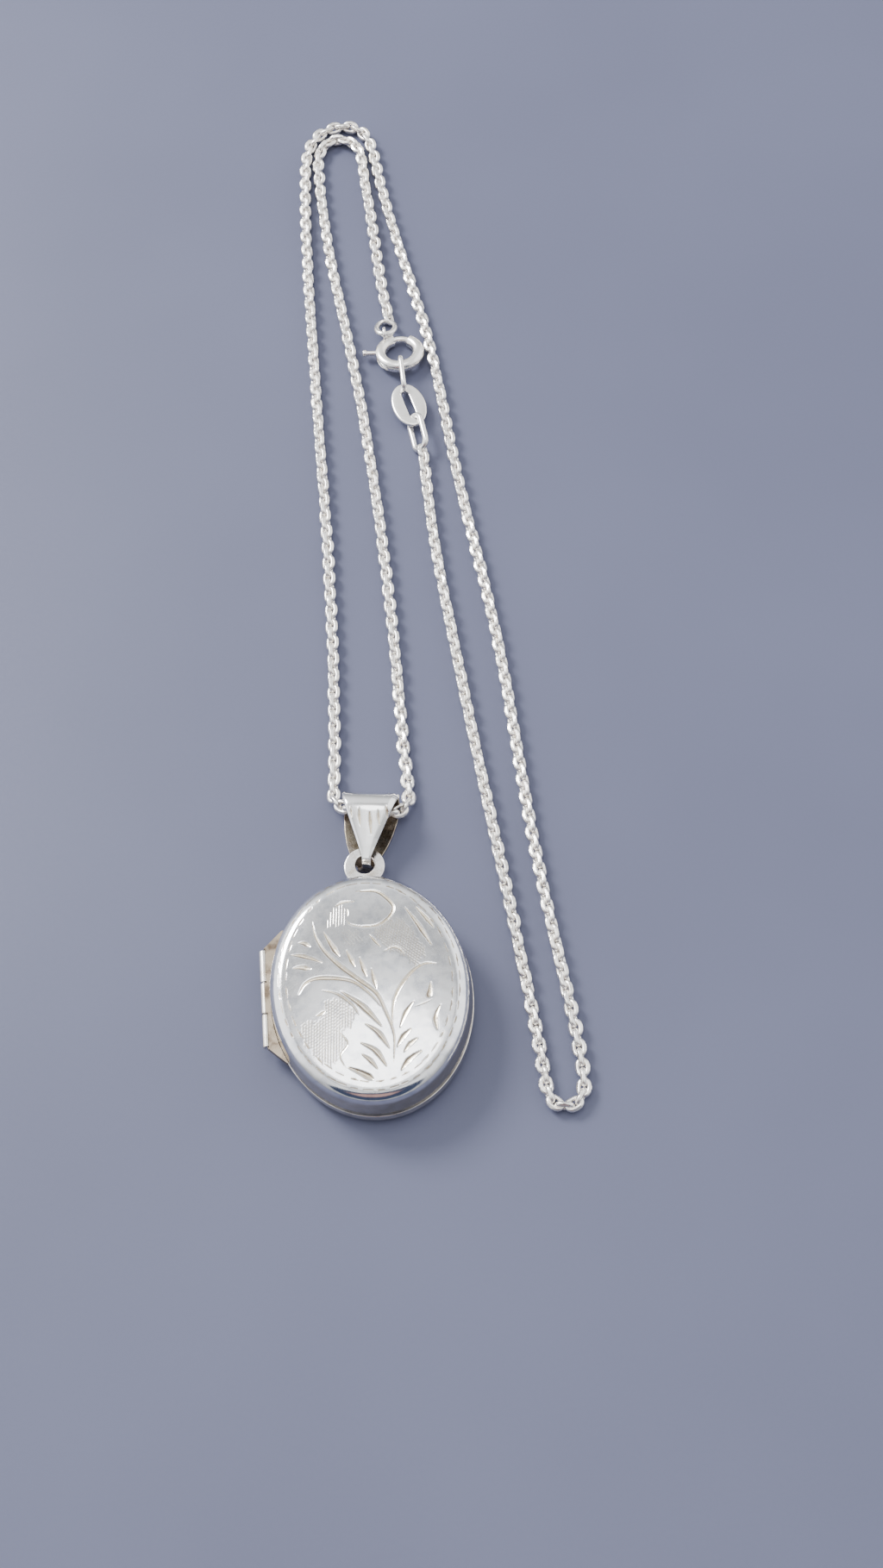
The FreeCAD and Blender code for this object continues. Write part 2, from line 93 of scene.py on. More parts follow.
def seen_towards(tree, where, aim, squash, low, high):
    """1 for directions near aim, 0 away from it; squash narrows or widens the patch on each axis."""
    shaped = vector_maths(tree, "MULTIPLY", where, squash).outputs["Vector"]
    unit = vector_maths(tree, "NORMALIZE", shaped).outputs["Vector"]
    aimed = Vector([a * s for a, s in zip(aim, squash)]).normalized()
    towards = vector_maths(tree, "DOT_PRODUCT", unit, aimed).outputs["Value"]
    return ramp_of(tree, towards, low, high)


def make_world():
    """Bright tent overhead with a darker band in it, glows at both sides and a dim shape low in front."""
    world = bpy.data.worlds.new("tent")
    bpy.context.scene.world = world
    world.use_nodes = True
    tree = world.node_tree
    background = tree.nodes["Background"]
    background.inputs["Strength"].default_value = WORLD_STRENGTH
    where = tree.nodes.new("ShaderNodeTexCoord").outputs["Generated"]
    height = tree.nodes.new("ShaderNodeSeparateXYZ")
    tree.links.new(where, height.inputs[0])
    drift = tree.nodes.new("ShaderNodeTexNoise")
    drift.inputs["Scale"].default_value = 6.0
    drift.inputs["Detail"].default_value = 3
    tree.links.new(where, drift.inputs["Vector"])
    waver = ramp_of(tree, drift.outputs["Fac"], 0.3, 0.7, -0.02, 0.02)
    band = maths(tree, "ADD", height.outputs["Z"], waver)
    ramp = tree.nodes.new("ShaderNodeValToRGB")
    tree.links.new(band, ramp.inputs["Fac"])
    while len(ramp.color_ramp.elements) < len(SKY_SHADES):
        ramp.color_ramp.elements.new(0.5)
    for element, (place, shade) in zip(ramp.color_ramp.elements, SKY_SHADES):
        element.position = place
        element.color = (*[shade * part for part in SKY_TINT], 1)
    dim = seen_towards(tree, where, (-0.1, -0.86, 0.5), (0.42, 1.0, 0.85), 0.915, 0.935)
    warm = seen_towards(tree, where, (-0.12, -0.8, 0.585), (0.5, 1.0, 1.5), 0.982, 0.992)
    left = seen_towards(tree, where, (-0.86, 0.36, 0.3), (1.0, 1.0, 1.0), 0.72, 0.9)
    right = seen_towards(tree, where, (0.86, 0.3, 0.36), (1.0, 1.0, 1.0), 0.76, 0.92)
    sky = mixed(tree, maths(tree, "MAXIMUM", left, right), ramp.outputs["Color"], SIDE_GLOW)
    sky = mixed(tree, dim, sky, DIM_SHAPE)
    tree.links.new(mixed(tree, warm, sky, WARM_SHAPE), background.inputs["Color"])


def softbox(name, place, target, size, power):
    """Round area lamp at place, facing target."""
    data = bpy.data.lights.new(name, "AREA")
    data.shape = "DISK"
    data.size = size
    data.energy = power
    lamp = bpy.data.objects.new(name, data)
    lamp.location = place
    lamp.rotation_mode = "QUATERNION"
    lamp.rotation_quaternion = (Vector(target) - Vector(place)).to_track_quat("-Z", "Y")
    bpy.context.collection.objects.link(lamp)


# ==================== materials

def ramp_of(tree, value, low, high, out_low=0.0, out_high=1.0):
    """Smooth step from one span of value to another."""
    node = tree.nodes.new("ShaderNodeMapRange")
    node.interpolation_type = "SMOOTHSTEP"
    node.inputs["From Min"].default_value = low
    node.inputs["From Max"].default_value = high
    node.inputs["To Min"].default_value = out_low
    node.inputs["To Max"].default_value = out_high
    tree.links.new(value, node.inputs["Value"])
    return node.outputs["Result"]


def maths(tree, operation, first, second):
    node = tree.nodes.new("ShaderNodeMath")
    node.operation = operation
    for socket, value in zip(node.inputs, (first, second)):
        if isinstance(value, (int, float)):
            socket.default_value = value
        else:
            tree.links.new(value, socket)
    return node.outputs["Value"]


def noise_of(tree, scale, detail=2.0, stretch=(1, 1, 1), turn=(0, 0, 0)):
    """Noise over the piece, with scale counted per millimetre."""
    where = tree.nodes.new("ShaderNodeTexCoord")
    mapping = tree.nodes.new("ShaderNodeMapping")
    mapping.vector_type = "TEXTURE"
    mapping.inputs["Rotation"].default_value = turn
    mapping.inputs["Scale"].default_value = [MM * side for side in stretch]
    tree.links.new(where.outputs["Object"], mapping.inputs["Vector"])
    grain = tree.nodes.new("ShaderNodeTexNoise")
    grain.inputs["Scale"].default_value = scale
    grain.inputs["Detail"].default_value = detail
    tree.links.new(mapping.outputs["Vector"], grain.inputs["Vector"])
    return grain.outputs["Fac"]


def mixed(tree, factor, first, second):
    """Colour mix; each colour is a tuple or a socket."""
    node = tree.nodes.new("ShaderNodeMix")
    node.data_type = "RGBA"
    tree.links.new(factor, node.inputs["Factor"])
    for socket, colour in zip((node.inputs["A"], node.inputs["B"]), (first, second)):
        if isinstance(colour, tuple):
            socket.default_value = (*colour, 1)
        else:
            tree.links.new(colour, socket)
    return node.outputs["Result"]


def bumped(tree, height, distance_mm, strength, under=None):
    node = tree.nodes.new("ShaderNodeBump")
    node.inputs["Distance"].default_value = distance_mm * MM
    node.inputs["Strength"].default_value = strength
    tree.links.new(height, node.inputs["Height"])
    if under:
        tree.links.new(under, node.inputs["Normal"])
    return node.outputs["Normal"]


def painted(tree, name):
    """How far a vertex belongs to a painted layer, such as cuts, oxidised parts and painted shade, from 0 to
    1.
    """
    node = tree.nodes.new("ShaderNodeAttribute")
    node.attribute_name = name
    return node.outputs["Fac"]


def new_material(name):
    material = bpy.data.materials.new(name)
    material.use_nodes = True
    return material, material.node_tree, material.node_tree.nodes["Principled BSDF"]


CUT_TONE = (0.66, 0.56, 0.40)
# painted shade: the cover's wall is toned darker for the table's contact shadow that it reflects
WALL_SHADE_TONE = (0.50, 0.44, 0.34)
# oxidised-silver colours; they also paint shade on the cuts' steep sides and in the bail's loop
BROWN_OXIDE_AND_SHADE = (0.10, 0.062, 0.045)
OLIVE_OXIDE_AND_SHADE = (0.27, 0.225, 0.155)
CUT_ROUGHER = 0.16
SCRATCH_TURNS = (0.5, -0.85, 1.9)
SCRATCH_STRETCH = (0.045, 1.4, 0.3)
SCRATCH_DEPTH = 0.003
RIPPLE_DEPTH = 0.12


def silver_colour(tree, tone, stain, stain_share, cut, dark):
    """Tone mottled with stain, warmer in the cuts, oxidised and given painted shade where dark, and painted
    shade on the cover's wall.
    """
    mottle = ramp_of(tree, noise_of(tree, 0.9, 5), 0.42, 0.72, 0, stain_share)
    colour = mixed(tree, mottle, tone, stain)
    cut_shade = maths(tree, "MULTIPLY", cut, ramp_of(tree, noise_of(tree, 3.0, 3), 0.3, 0.7, 0.6, 1.0))
    colour = mixed(tree, cut_shade, colour, CUT_TONE)
    patches = ramp_of(tree, noise_of(tree, 0.35, 3), 0.35, 0.65)
    oxide_and_shade_tone = mixed(tree, patches, BROWN_OXIDE_AND_SHADE, OLIVE_OXIDE_AND_SHADE)
    dark_shade = maths(tree, "MULTIPLY", dark, ramp_of(tree, noise_of(tree, 1.6, 2), 0.25, 0.75, 0.86, 1.0))
    colour = mixed(tree, dark_shade, colour, oxide_and_shade_tone)
    # mottled painted shade on the cover's wall
    wall_shade = ramp_of(tree, noise_of(tree, 1.3, 5), 0.3, 0.7, 0.68, 0.84)
    return mixed(tree, maths(tree, "MULTIPLY", painted(tree, "shaded"), wall_shade), colour, WALL_SHADE_TONE)


def silver(name, tone, stain, stain_share, roughness, scratches, ripple):
    """Worn silver: mottled, oxidised and given painted shade in the cuts, with fine scratches and a
    hand-polished ripple.
    """
    material, tree, shader = new_material(name)
    cut, dark = painted(tree, "engraved"), painted(tree, "tarnish")
    tree.links.new(silver_colour(tree, tone, stain, stain_share, cut, dark), shader.inputs["Base Color"])
    shader.inputs["Metallic"].default_value = 1.0
    fine = ramp_of(tree, noise_of(tree, 9.0, 3), 0.3, 0.7, roughness - 0.03, roughness + 0.05)
    rougher = maths(tree, "MULTIPLY", maths(tree, "ADD", cut, dark), CUT_ROUGHER)
    tree.links.new(maths(tree, "ADD", fine, rougher), shader.inputs["Roughness"])
    lines = None
    for turn in SCRATCH_TURNS:
        streak = ramp_of(tree, noise_of(tree, 1.6, 2, SCRATCH_STRETCH, (0, 0, turn)), 0.56, 0.8)
        lines = streak if lines is None else maths(tree, "MAXIMUM", lines, streak)
    wave = bumped(tree, noise_of(tree, 0.28, 2), RIPPLE_DEPTH, ripple)
    tree.links.new(bumped(tree, lines, SCRATCH_DEPTH, scratches, wave), shader.inputs["Normal"])
    return material


def acetate(name):
    """Clear plastic glazing with a faint haze and ripple."""
    material, tree, shader = new_material(name)
    haze = ramp_of(tree, noise_of(tree, 0.8, 4), 0.4, 0.8, 0.04, 0.16)
    tree.links.new(haze, shader.inputs["Roughness"])
    tint = mixed(tree, noise_of(tree, 0.3, 2), (0.97, 0.98, 0.98), (0.93, 0.95, 0.94))
    tree.links.new(tint, shader.inputs["Base Color"])
    shader.inputs["Transmission Weight"].default_value = 1.0
    shader.inputs["IOR"].default_value = 1.48
    tree.links.new(bumped(tree, noise_of(tree, 0.4, 2), 0.02, 0.4), shader.inputs["Normal"])
    return material


def card(name):
    """Cream card with short paper fibres and faint foxing."""
    material, tree, shader = new_material(name)
    fibres = noise_of(tree, 3.0, 4, (0.25, 1.0, 1.0), (0, 0, 0.7))
    paper = mixed(tree, ramp_of(tree, fibres, 0.35, 0.65), (0.80, 0.76, 0.66), (0.70, 0.65, 0.54))
    spots = ramp_of(tree, noise_of(tree, 0.7, 3), 0.62, 0.78, 0, 0.45)
    tree.links.new(mixed(tree, spots, paper, (0.47, 0.36, 0.22)), shader.inputs["Base Color"])
    tree.links.new(ramp_of(tree, fibres, 0.3, 0.7, 0.82, 0.95), shader.inputs["Roughness"])
    tree.links.new(bumped(tree, fibres, 0.03, 0.5), shader.inputs["Normal"])
    return material


def satin_board(name):
    """Pale blue-grey table top."""
    material, tree, shader = new_material(name)
    cloud = ramp_of(tree, noise_of(tree, 0.02, 3), 0.3, 0.7)
    tone = mixed(tree, cloud, (0.090, 0.097, 0.158), (0.098, 0.106, 0.171))
    tree.links.new(tone, shader.inputs["Base Color"])
    speck = noise_of(tree, 2.5, 3)
    tree.links.new(ramp_of(tree, speck, 0.3, 0.7, 0.46, 0.56), shader.inputs["Roughness"])
    shader.inputs["Specular IOR Level"].default_value = 0.35
    tree.links.new(bumped(tree, speck, 0.01, 0.15), shader.inputs["Normal"])
    return material


# ==================== mesh helpers

def mesh_piece(name, points, faces, material, body, slot, flat_faces=None, **attributes):
    """Smooth mesh object from points in millimetres, riding on a body."""
    mesh = bpy.data.meshes.new(name)
    mesh.from_pydata((np.asarray(points) * MM).tolist(), [], faces)
    smooth = np.ones(len(mesh.polygons), dtype=bool)
    if flat_faces is not None:
        smooth[flat_faces] = False
    mesh.polygons.foreach_set("use_smooth", smooth)
    for attribute, values in attributes.items():
        layer = mesh.attributes.new(attribute, "FLOAT", "POINT")
        layer.data.foreach_set("value", np.asarray(values, dtype=np.float32))
    mesh.materials.append(material)
    piece = bpy.data.objects.new(name, mesh)
    bpy.context.collection.objects.link(piece)
    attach(piece, body)
    return piece


def grid_faces(rows, columns, closed_rows=False, closed_columns=False, start=0):
    """Quads of a grid of points stored row by row."""
    row = np.arange(rows if closed_rows else rows - 1)
    column = np.arange(columns if closed_columns else columns - 1)
    row, column = np.meshgrid(row, column, indexing="ij")
    next_row, next_column = (row + 1) % rows, (column + 1) % columns
    corners = [row * columns + column, next_row * columns + column,
               next_row * columns + next_column, row * columns + next_column]
    return (np.stack(corners, axis=-1).reshape(-1, 4) + start).tolist()


def smooth_line(points, steps=10):
    """Catmull-Rom curve through points in the plane."""
    points = np.array(points, dtype=float)
    padded = np.vstack([2 * points[0] - points[1], points, 2 * points[-1] - points[-2]])
    shares = np.linspace(0, 1, steps, endpoint=False)[:, None]
    curve = []
    for a, b, c, d in zip(padded, padded[1:], padded[2:], padded[3:]):
        bend = (2 * a - 5 * b + 4 * c - d) * shares ** 2 + (3 * b - a - 3 * c + d) * shares ** 3
        curve.append(b + 0.5 * ((c - a) * shares + bend))
    return np.vstack(curve + [points[-1:]])


class Engraving:
    """Cuts into a surface seen in plan: their depth, how far a vertex is inside, and the dark steep side,
    oxidised and given painted shade.
    """

    FAR = 9.0

    def __init__(self, plan):
        self.plan = plan
        self.depth = np.zeros(len(plan))
        self.inside = np.zeros(len(plan))
        self.dark = np.zeros(len(plan))

    def near(self, low, high):
        return np.flatnonzero(np.all((self.plan > low) & (self.plan < high), axis=1))

    def stroke(self, points, half_width, depth, belly, keel=-0.35, dark=0.9):
        """Gouge cut with pointed ends.

        It is widest at the share belly of its length, and deepest at keel: -1 right edge, 1 left.
        """
        line = smooth_line(points)
        picked = self.near(line.min(0) - half_width, line.max(0) + half_width)
        if not len(picked):
            return
        here = self.plan[picked]
        lengths = np.linalg.norm(np.diff(line, axis=0), axis=1)
        shares = np.concatenate([[0], np.cumsum(lengths)]) / lengths.sum()
        best = np.full(len(picked), self.FAR)
        signed, taper_there = np.full(len(picked), self.FAR), np.zeros(len(picked))
        for start, end, share, next_share in zip(line, line[1:], shares, shares[1:]):
            along = end - start
            t = np.clip(((here - start) @ along) / (along @ along), 0, 1)
            offset = here - start - t[:, None] * along
            side = np.sign(along[0] * offset[:, 1] - along[1] * offset[:, 0])
            place = share + t * (next_share - share)
            taper = np.minimum(place / belly, (1 - place) / (1 - belly)).clip(0, 1) ** 0.6
            ratio = np.linalg.norm(offset, axis=1) / (half_width * taper + 1e-4)
            nearer = ratio < best
            best = np.where(nearer, ratio, best)
            signed = np.where(nearer, side * ratio, signed)
            taper_there = np.where(nearer, taper, taper_there)
        slope = np.where(signed > keel, (1 - signed) / (1 - keel), (signed + 1) / (keel + 1))
        cut = np.clip(slope, 0, 1)
        profile = cut * (2 - cut)
        self.depth[picked] = np.maximum(self.depth[picked], depth * profile * taper_there ** 0.7)
        self.inside[picked] = np.maximum(self.inside[picked], np.clip(cut * 4, 0, 1))
        steep = np.clip((keel + 0.25 - signed) / 0.35, 0, 1) * np.clip((1.1 - best) / 0.3, 0, 1)
        self.dark[picked] = np.maximum(self.dark[picked], dark * steep)

    def hatch(self, outline, lines, depth, ragged, shade, rng):
        """Fine lines filling an outline, with uneven ends.

        lines gives each point's place counted in lines, and the direction they run in.
        """
        outline = np.array(outline)
        picked = self.near(outline.min(0) - ragged, outline.max(0) + ragged)
        here = self.plan[picked]
        number, along = lines(here)
        line = np.floor(number).astype(int)
        shifts = np.array([rng.uniform(-ragged, ragged) for _ in range(line.max() - line.min() + 1)])
        shifted = here + shifts[line - line.min()][:, None] * along
        groove = np.clip(1 - np.abs(number - line - 0.5) / 0.3, 0, 1) * inside_outline(shifted, outline)
        self.depth[picked] = np.maximum(self.depth[picked], depth * groove)
        self.inside[picked] = np.maximum(self.inside[picked], shade * groove)
        self.dark[picked] = np.maximum(self.dark[picked], 0.35 * groove)


def straight_lines(angle, period):
    """Parallel lines at an angle, a period apart."""
    along = np.array([math.cos(angle), math.sin(angle)])
    across = np.array([-along[1], along[0]])
    return lambda here: (here @ across / period, along)


def zigzag_lines(column, slope, period):
    """Lines that slant one way and then the other in columns."""
    def number(here):
        wave = np.abs((here[:, 0] / column) % 2 - 1) * column
        return (here[:, 1] + slope * wave) / period
    return lambda here: (number(here), np.array([0.0, 1.0]))


def inside_outline(points, outline):
    """1 where a point lies inside the closed outline, else 0."""
    x, y = points[:, 0], points[:, 1]
    odd = np.zeros(len(points), dtype=bool)
    for (x0, y0), (x1, y1) in zip(outline, np.roll(outline, -1, axis=0)):
        crosses = (y0 > y) != (y1 > y)
        odd ^= crosses & (x < (x1 - x0) * (y - y0) / (y1 - y0 + 1e-12) + x0)
    return odd.astype(float)


# ==================== chain

# the route is in metres, like the frame
LAID_Z = 0.00077  # the chain's middle line on the table
BAIL_Z = 0.0016  # and inside the bail


def on_table(*places):
    """Points where the chain lies on the table."""
    return [(x, y, LAID_Z) for x, y in places]


CHAIN_ROUTE = [
    *on_table(
        # from the clasp up the inner strand
        (0.0071, 0.0878), (0.00675, 0.0902), (0.0064, 0.0946), (0.00615, 0.1004), (0.00575, 0.106),
        (0.0055, 0.1104),
        # inner bend at the top
        (0.0054, 0.1141), (0.004, 0.1162), (0.0017, 0.1165), (0.0001, 0.1147),
        # down the inner strand to the bail
        (-0.00015, 0.1115), (0.00005, 0.1062), (0.0005, 0.0985), (0.00155, 0.0892), (0.0026, 0.0805),
        (0.00345, 0.071), (0.0041, 0.061), (0.0046, 0.0505), (0.00485, 0.041), (0.00495, 0.0335),
        (0.005, 0.0287), (0.00515, 0.0254),
    ),
    (0.00525, 0.023, 0.00095), (0.00495, 0.0216, 0.0013),
    # across inside the bail
    (0.0034, 0.02085, 0.0015), (0.0016, 0.0211, BAIL_Z), (-0.0003, 0.02155, BAIL_Z),
    (-0.00185, 0.022, BAIL_Z), (-0.00295, 0.0232, 0.0011),
    *on_table(
        (-0.00275, 0.0252),
        # up the outer strand
        (-0.0025, 0.0286), (-0.00225, 0.034), (-0.002, 0.041), (-0.00185, 0.0505), (-0.0019, 0.0615),
        (-0.00205, 0.073), (-0.00215, 0.0845), (-0.0022, 0.095), (-0.0021, 0.1035), (-0.00185, 0.1095),
        (-0.0016, 0.1136),
        # outer bend at the top
        (-0.0005, 0.1168), (0.002, 0.1185), (0.0049, 0.1183), (0.0066, 0.1159),
        # the long outer strand down the right
        (0.00705, 0.112), (0.00775, 0.1062), (0.00905, 0.0984), (0.0106, 0.0902), (0.01195, 0.082),
        (0.01275, 0.0725), (0.0136, 0.063), (0.0149, 0.053), (0.0161, 0.0435), (0.01685, 0.0335),
        (0.0174, 0.0235), (0.01815, 0.013), (0.0192, 0.0035), (0.01995, -0.003), (0.0203, -0.007),
        (0.02045, -0.0096),
        # tight bend at the bottom
        (0.0203, -0.01165), (0.0192, -0.01275), (0.0177, -0.0127), (0.01665, -0.0116),
        # back up to the tag
        (0.01655, -0.0092), (0.01625, -0.0054), (0.0156, 0.0012), (0.01475, 0.0095), (0.0138, 0.0185),
        (0.01275, 0.028), (0.01175, 0.0385), (0.0108, 0.048), (0.01015, 0.0565), (0.00995, 0.0623),
        (0.00985, 0.0672),
    ),
]

LINK_PITCH = 1.056
LINK_HALF_LENGTH = 0.795
LINK_HALF_WIDTH = 0.56
LINK_WIRE = 0.268
LINK_TALL = 1.05  # the wire's height over its width
LINK_FILED = 0.58  # how far out the filed flats lie
LINK_STEPS = 18
LINK_SECTION = 12
LINK_TWIST = 0.9  # radians of slow twist either way
TWIST_RATE = 0.045  # how fast it changes from link to link
TURN_SCATTER = 0.05
SIDE_SCATTER = 0.03
END_REACH = (0.93, 0.85)  # how far the first and last links reach into their rings

# each ring: straight length, bend radius and wire radius, then roll, pitch, turn (degrees) and centre
RINGS = {
    "clasp_jump_ring": (1.0, 1.08, 0.33, (0, -24, -8, (6.72, 85.73, 1.04))),
    "tag_connector_link": (2.6, 1.02, 0.3, (90, 0, 2, (8.25, 78.3, 1.33))),
    "tag_jump_ring": (2.6, 1.02, 0.34, (-50, 0, 8, (9.44, 70.05, 1.09))),
}
RING_SECTION = 16
TAG_CENTRE = (8.7, 74.05, 1.08)
TAG_TURN = 14.0  # degrees
TAG_HALF_LENGTH = 3.1
TAG_HALF_WIDTH = 1.95
TAG_THICK = 0.46
TAG_SLOT_HALF_LENGTH = 1.95
TAG_SLOT_HALF_WIDTH = 0.42
TAG_STEPS = 96
# the plate's section: share of the way from slot to rim, and lift as a share of half the thickness
TAG_SECTION = [(0.0, -0.6), (0.0, 0.6), (0.03, 0.9), (0.1, 1.0), (0.5, 1.0), (0.86, 1.0), (0.95, 0.85),
               (1.0, 0.4), (1.0, -0.4), (0.95, -0.85), (0.86, -1.0), (0.5, -1.0), (0.1, -1.0), (0.03, -0.9)]


def read_route(points):
    """Points along the smooth spline that has the route's points as its control points."""
    curve = bpy.data.curves.new("chain_route", "CURVE")
    curve.dimensions = "3D"
    curve.resolution_u = 12
    spline = curve.splines.new("NURBS")
    spline.points.add(len(points) - 1)
    for control, point in zip(spline.points, points):
        control.co = (*point, 1)
    spline.order_u = 3
    spline.use_endpoint_u = True
    holder = bpy.data.objects.new("chain_route", curve)
    mesh = bpy.data.meshes.new_from_object(holder)
    path = [vertex.co.copy() for vertex in mesh.vertices]
    bpy.data.objects.remove(holder)
    bpy.data.meshes.remove(mesh)
    return path


def link_shape():
    """One oval link about the origin, long axis X in the XY plane, with four filed flats."""
    around = 2 * math.pi * np.arange(LINK_STEPS) / LINK_STEPS
    section = 2 * math.pi * (np.arange(LINK_SECTION) + 0.5) / LINK_SECTION
    points = np.zeros((LINK_STEPS, LINK_SECTION, 3))
    for row, angle in enumerate(around):
        outward = np.array([math.cos(angle) / LINK_HALF_LENGTH, math.sin(angle) / LINK_HALF_WIDTH, 0])
        outward /= np.linalg.norm(outward)
        middle = np.array([LINK_HALF_LENGTH * math.cos(angle), LINK_HALF_WIDTH * math.sin(angle), 0])
        points[row] = middle + LINK_WIRE * np.outer(np.cos(section), outward)
        points[row, :, 2] = LINK_WIRE * LINK_TALL * np.sin(section)
    reach = (np.abs(points[..., 1]) + np.abs(points[..., 2])) / math.sqrt(2)
    over = np.clip(reach - LINK_FILED, 0, None) / math.sqrt(2)
    points[..., 1] -= np.sign(points[..., 1]) * over
    points[..., 2] -= np.sign(points[..., 2]) * over
    faces = np.array(grid_faces(LINK_STEPS, LINK_SECTION, True, True))
    filed = (over.reshape(-1)[faces] > 0).all(axis=1)
    return points.reshape(-1, 3), faces, filed


def joints_along(path):
    """Even places along the path, a pitch apart, reaching past its ends into the end rings."""
    path = np.array(path) / MM
    first = path[0] + (path[0] - path[1]) / np.linalg.norm(path[0] - path[1]) * END_REACH[0]
    last = path[-1] + (path[-1] - path[-2]) / np.linalg.norm(path[-1] - path[-2]) * END_REACH[1]
    path = np.vstack([first, path, last])
    travelled = np.concatenate([[0], np.cumsum(np.linalg.norm(np.diff(path, axis=0), axis=1))])
    count = round(travelled[-1] / LINK_PITCH)
    places = np.linspace(0, travelled[-1], count + 1)
    return np.stack([np.interp(places, travelled, path[:, axis]) for axis in range(3)], axis=1)


def oval_path(straight, bend, steps=24):
    """Closed oval, long axis along Y, as points and outward directions: straight-sided when it is long."""
    angles = np.concatenate([np.linspace(0, math.pi, steps), np.linspace(math.pi, 2 * math.pi, steps)])
    rise = np.concatenate([np.full(steps, straight / 2), np.full(steps, -straight / 2)])
    if straight <= bend:
        angles = 2 * math.pi * np.arange(2 * steps) / (2 * steps)
        rise = straight / 2 * np.sin(angles)
    outward = np.stack([np.cos(angles), np.sin(angles), 0 * angles], axis=1)
    return outward * bend + np.stack([0 * rise, rise, 0 * rise], axis=1), outward


def laid(points, roll, pitch, turn, centre):
    """Roll about Y, pitch about X, turn about Z, in degrees, then move to centre."""
    spin = Matrix.Rotation(math.radians(turn), 3, "Z") @ Matrix.Rotation(math.radians(pitch), 3, "X")
    spin = spin @ Matrix.Rotation(math.radians(roll), 3, "Y")
    return points @ np.array(spin).T + centre


def wire_ring(name, straight, bend, wire, placing, material):
    """Smooth oval ring of round wire."""
    middle, outward = oval_path(straight, bend)
    section = 2 * math.pi * np.arange(RING_SECTION) / RING_SECTION
    points = middle[:, None] + wire * (np.cos(section)[:, None] * outward[:, None]
                                       + np.sin(section)[:, None] * np.array([0, 0, 1.0]))
    faces = grid_faces(len(middle), RING_SECTION, True, True)
    ring = mesh_piece(name + "_smooth", laid(points.reshape(-1, 3), *placing), faces, material,
                      "chain_and_bail", "clasp_silver")
    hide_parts(name)
    return ring


def make_tag(material):
    """Plain oval plate with soft edges and a narrow slot."""
    angle = 2 * math.pi * np.arange(TAG_STEPS) / TAG_STEPS
    rim = np.stack([TAG_HALF_WIDTH * np.cos(angle), TAG_HALF_LENGTH * np.sin(angle), 0 * angle], axis=1)
    straight = TAG_SLOT_HALF_LENGTH - TAG_SLOT_HALF_WIDTH
    middle = np.stack([0 * angle, np.clip(rim[:, 1] * 0.75, -straight, straight), 0 * angle], axis=1)
    outward = (rim - middle) / np.linalg.norm(rim - middle, axis=1)[:, None]
    slot = middle + TAG_SLOT_HALF_WIDTH * outward
    half = TAG_THICK / 2
    points = np.stack([slot + (rim - slot) * share + (0, 0, half * lift)
                       for share, lift in TAG_SECTION], axis=1)
    faces = [quad[::-1] for quad in grid_faces(len(slot), len(TAG_SECTION), True, True)]
    tag = mesh_piece("oval_tag_smooth", laid(points.reshape(-1, 3), 0, 0, TAG_TURN, TAG_CENTRE), faces,
                     material, "chain_and_bail", "clasp_silver")
    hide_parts("oval_tag")
    return tag


def make_findings(material):
    """The small rings and the tag between the chain's ends and the bolt ring."""
    return [wire_ring(name, *ring, material) for name, ring in RINGS.items()] + [make_tag(material)]


def make_chain(material, findings):
    """Every link of the trace chain, each turned a quarter from the last, with a slow twist."""
    path = read_route(CHAIN_ROUTE)
    joints = joints_along(path)
    shape, faces, filed = link_shape()
    rng = random.Random(7)
    points, all_faces, flat = [], [], []
    for index, (start, end) in enumerate(zip(joints, joints[1:])):
        along = (end - start) / np.linalg.norm(end - start)
        side = np.cross((0, 0, 1), along)
        side /= np.linalg.norm(side)
        up = np.cross(along, side)
        twist = LINK_TWIST * noise.noise(Vector((index * TWIST_RATE, 0.3, 0))) + rng.gauss(0, TURN_SCATTER)
        roll = math.pi / 4 + (index % 2) * math.pi / 2 + twist
        wide = math.cos(roll) * side + math.sin(roll) * up
        thick = math.cos(roll) * up - math.sin(roll) * side
        middle = (start + end) / 2 + side * rng.uniform(-SIDE_SCATTER, SIDE_SCATTER)
        points.append(shape @ np.array([along, wide, thick]) + middle)
        all_faces.append(faces + index * len(shape))
        flat.append(filed)
    chain = mesh_piece("chain_links", np.vstack(points), np.vstack(all_faces).tolist(), material,
                       "chain_and_bail", "chain_silver", np.concatenate(flat))
    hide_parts("trace_chain")


# ==================== front cover

HALF_WIDTH = 10.3
HALF_HEIGHT = 12.65
OVAL_CENTRE = (-0.08, 0.16)
OVAL_TURN = math.radians(3.7)
DOME_RADIUS = 75.0
SHOULDER = 1.6
SHOULDER_INSET = 1.85
SHEET = 0.4
RIM_INSET = 0.05  # how far the foot of the wall stays inside the oval
FACE_RINGS = 118
SHOULDER_RINGS = 28
WALL_RINGS = 3
INSIDE_TARNISH = 0.25

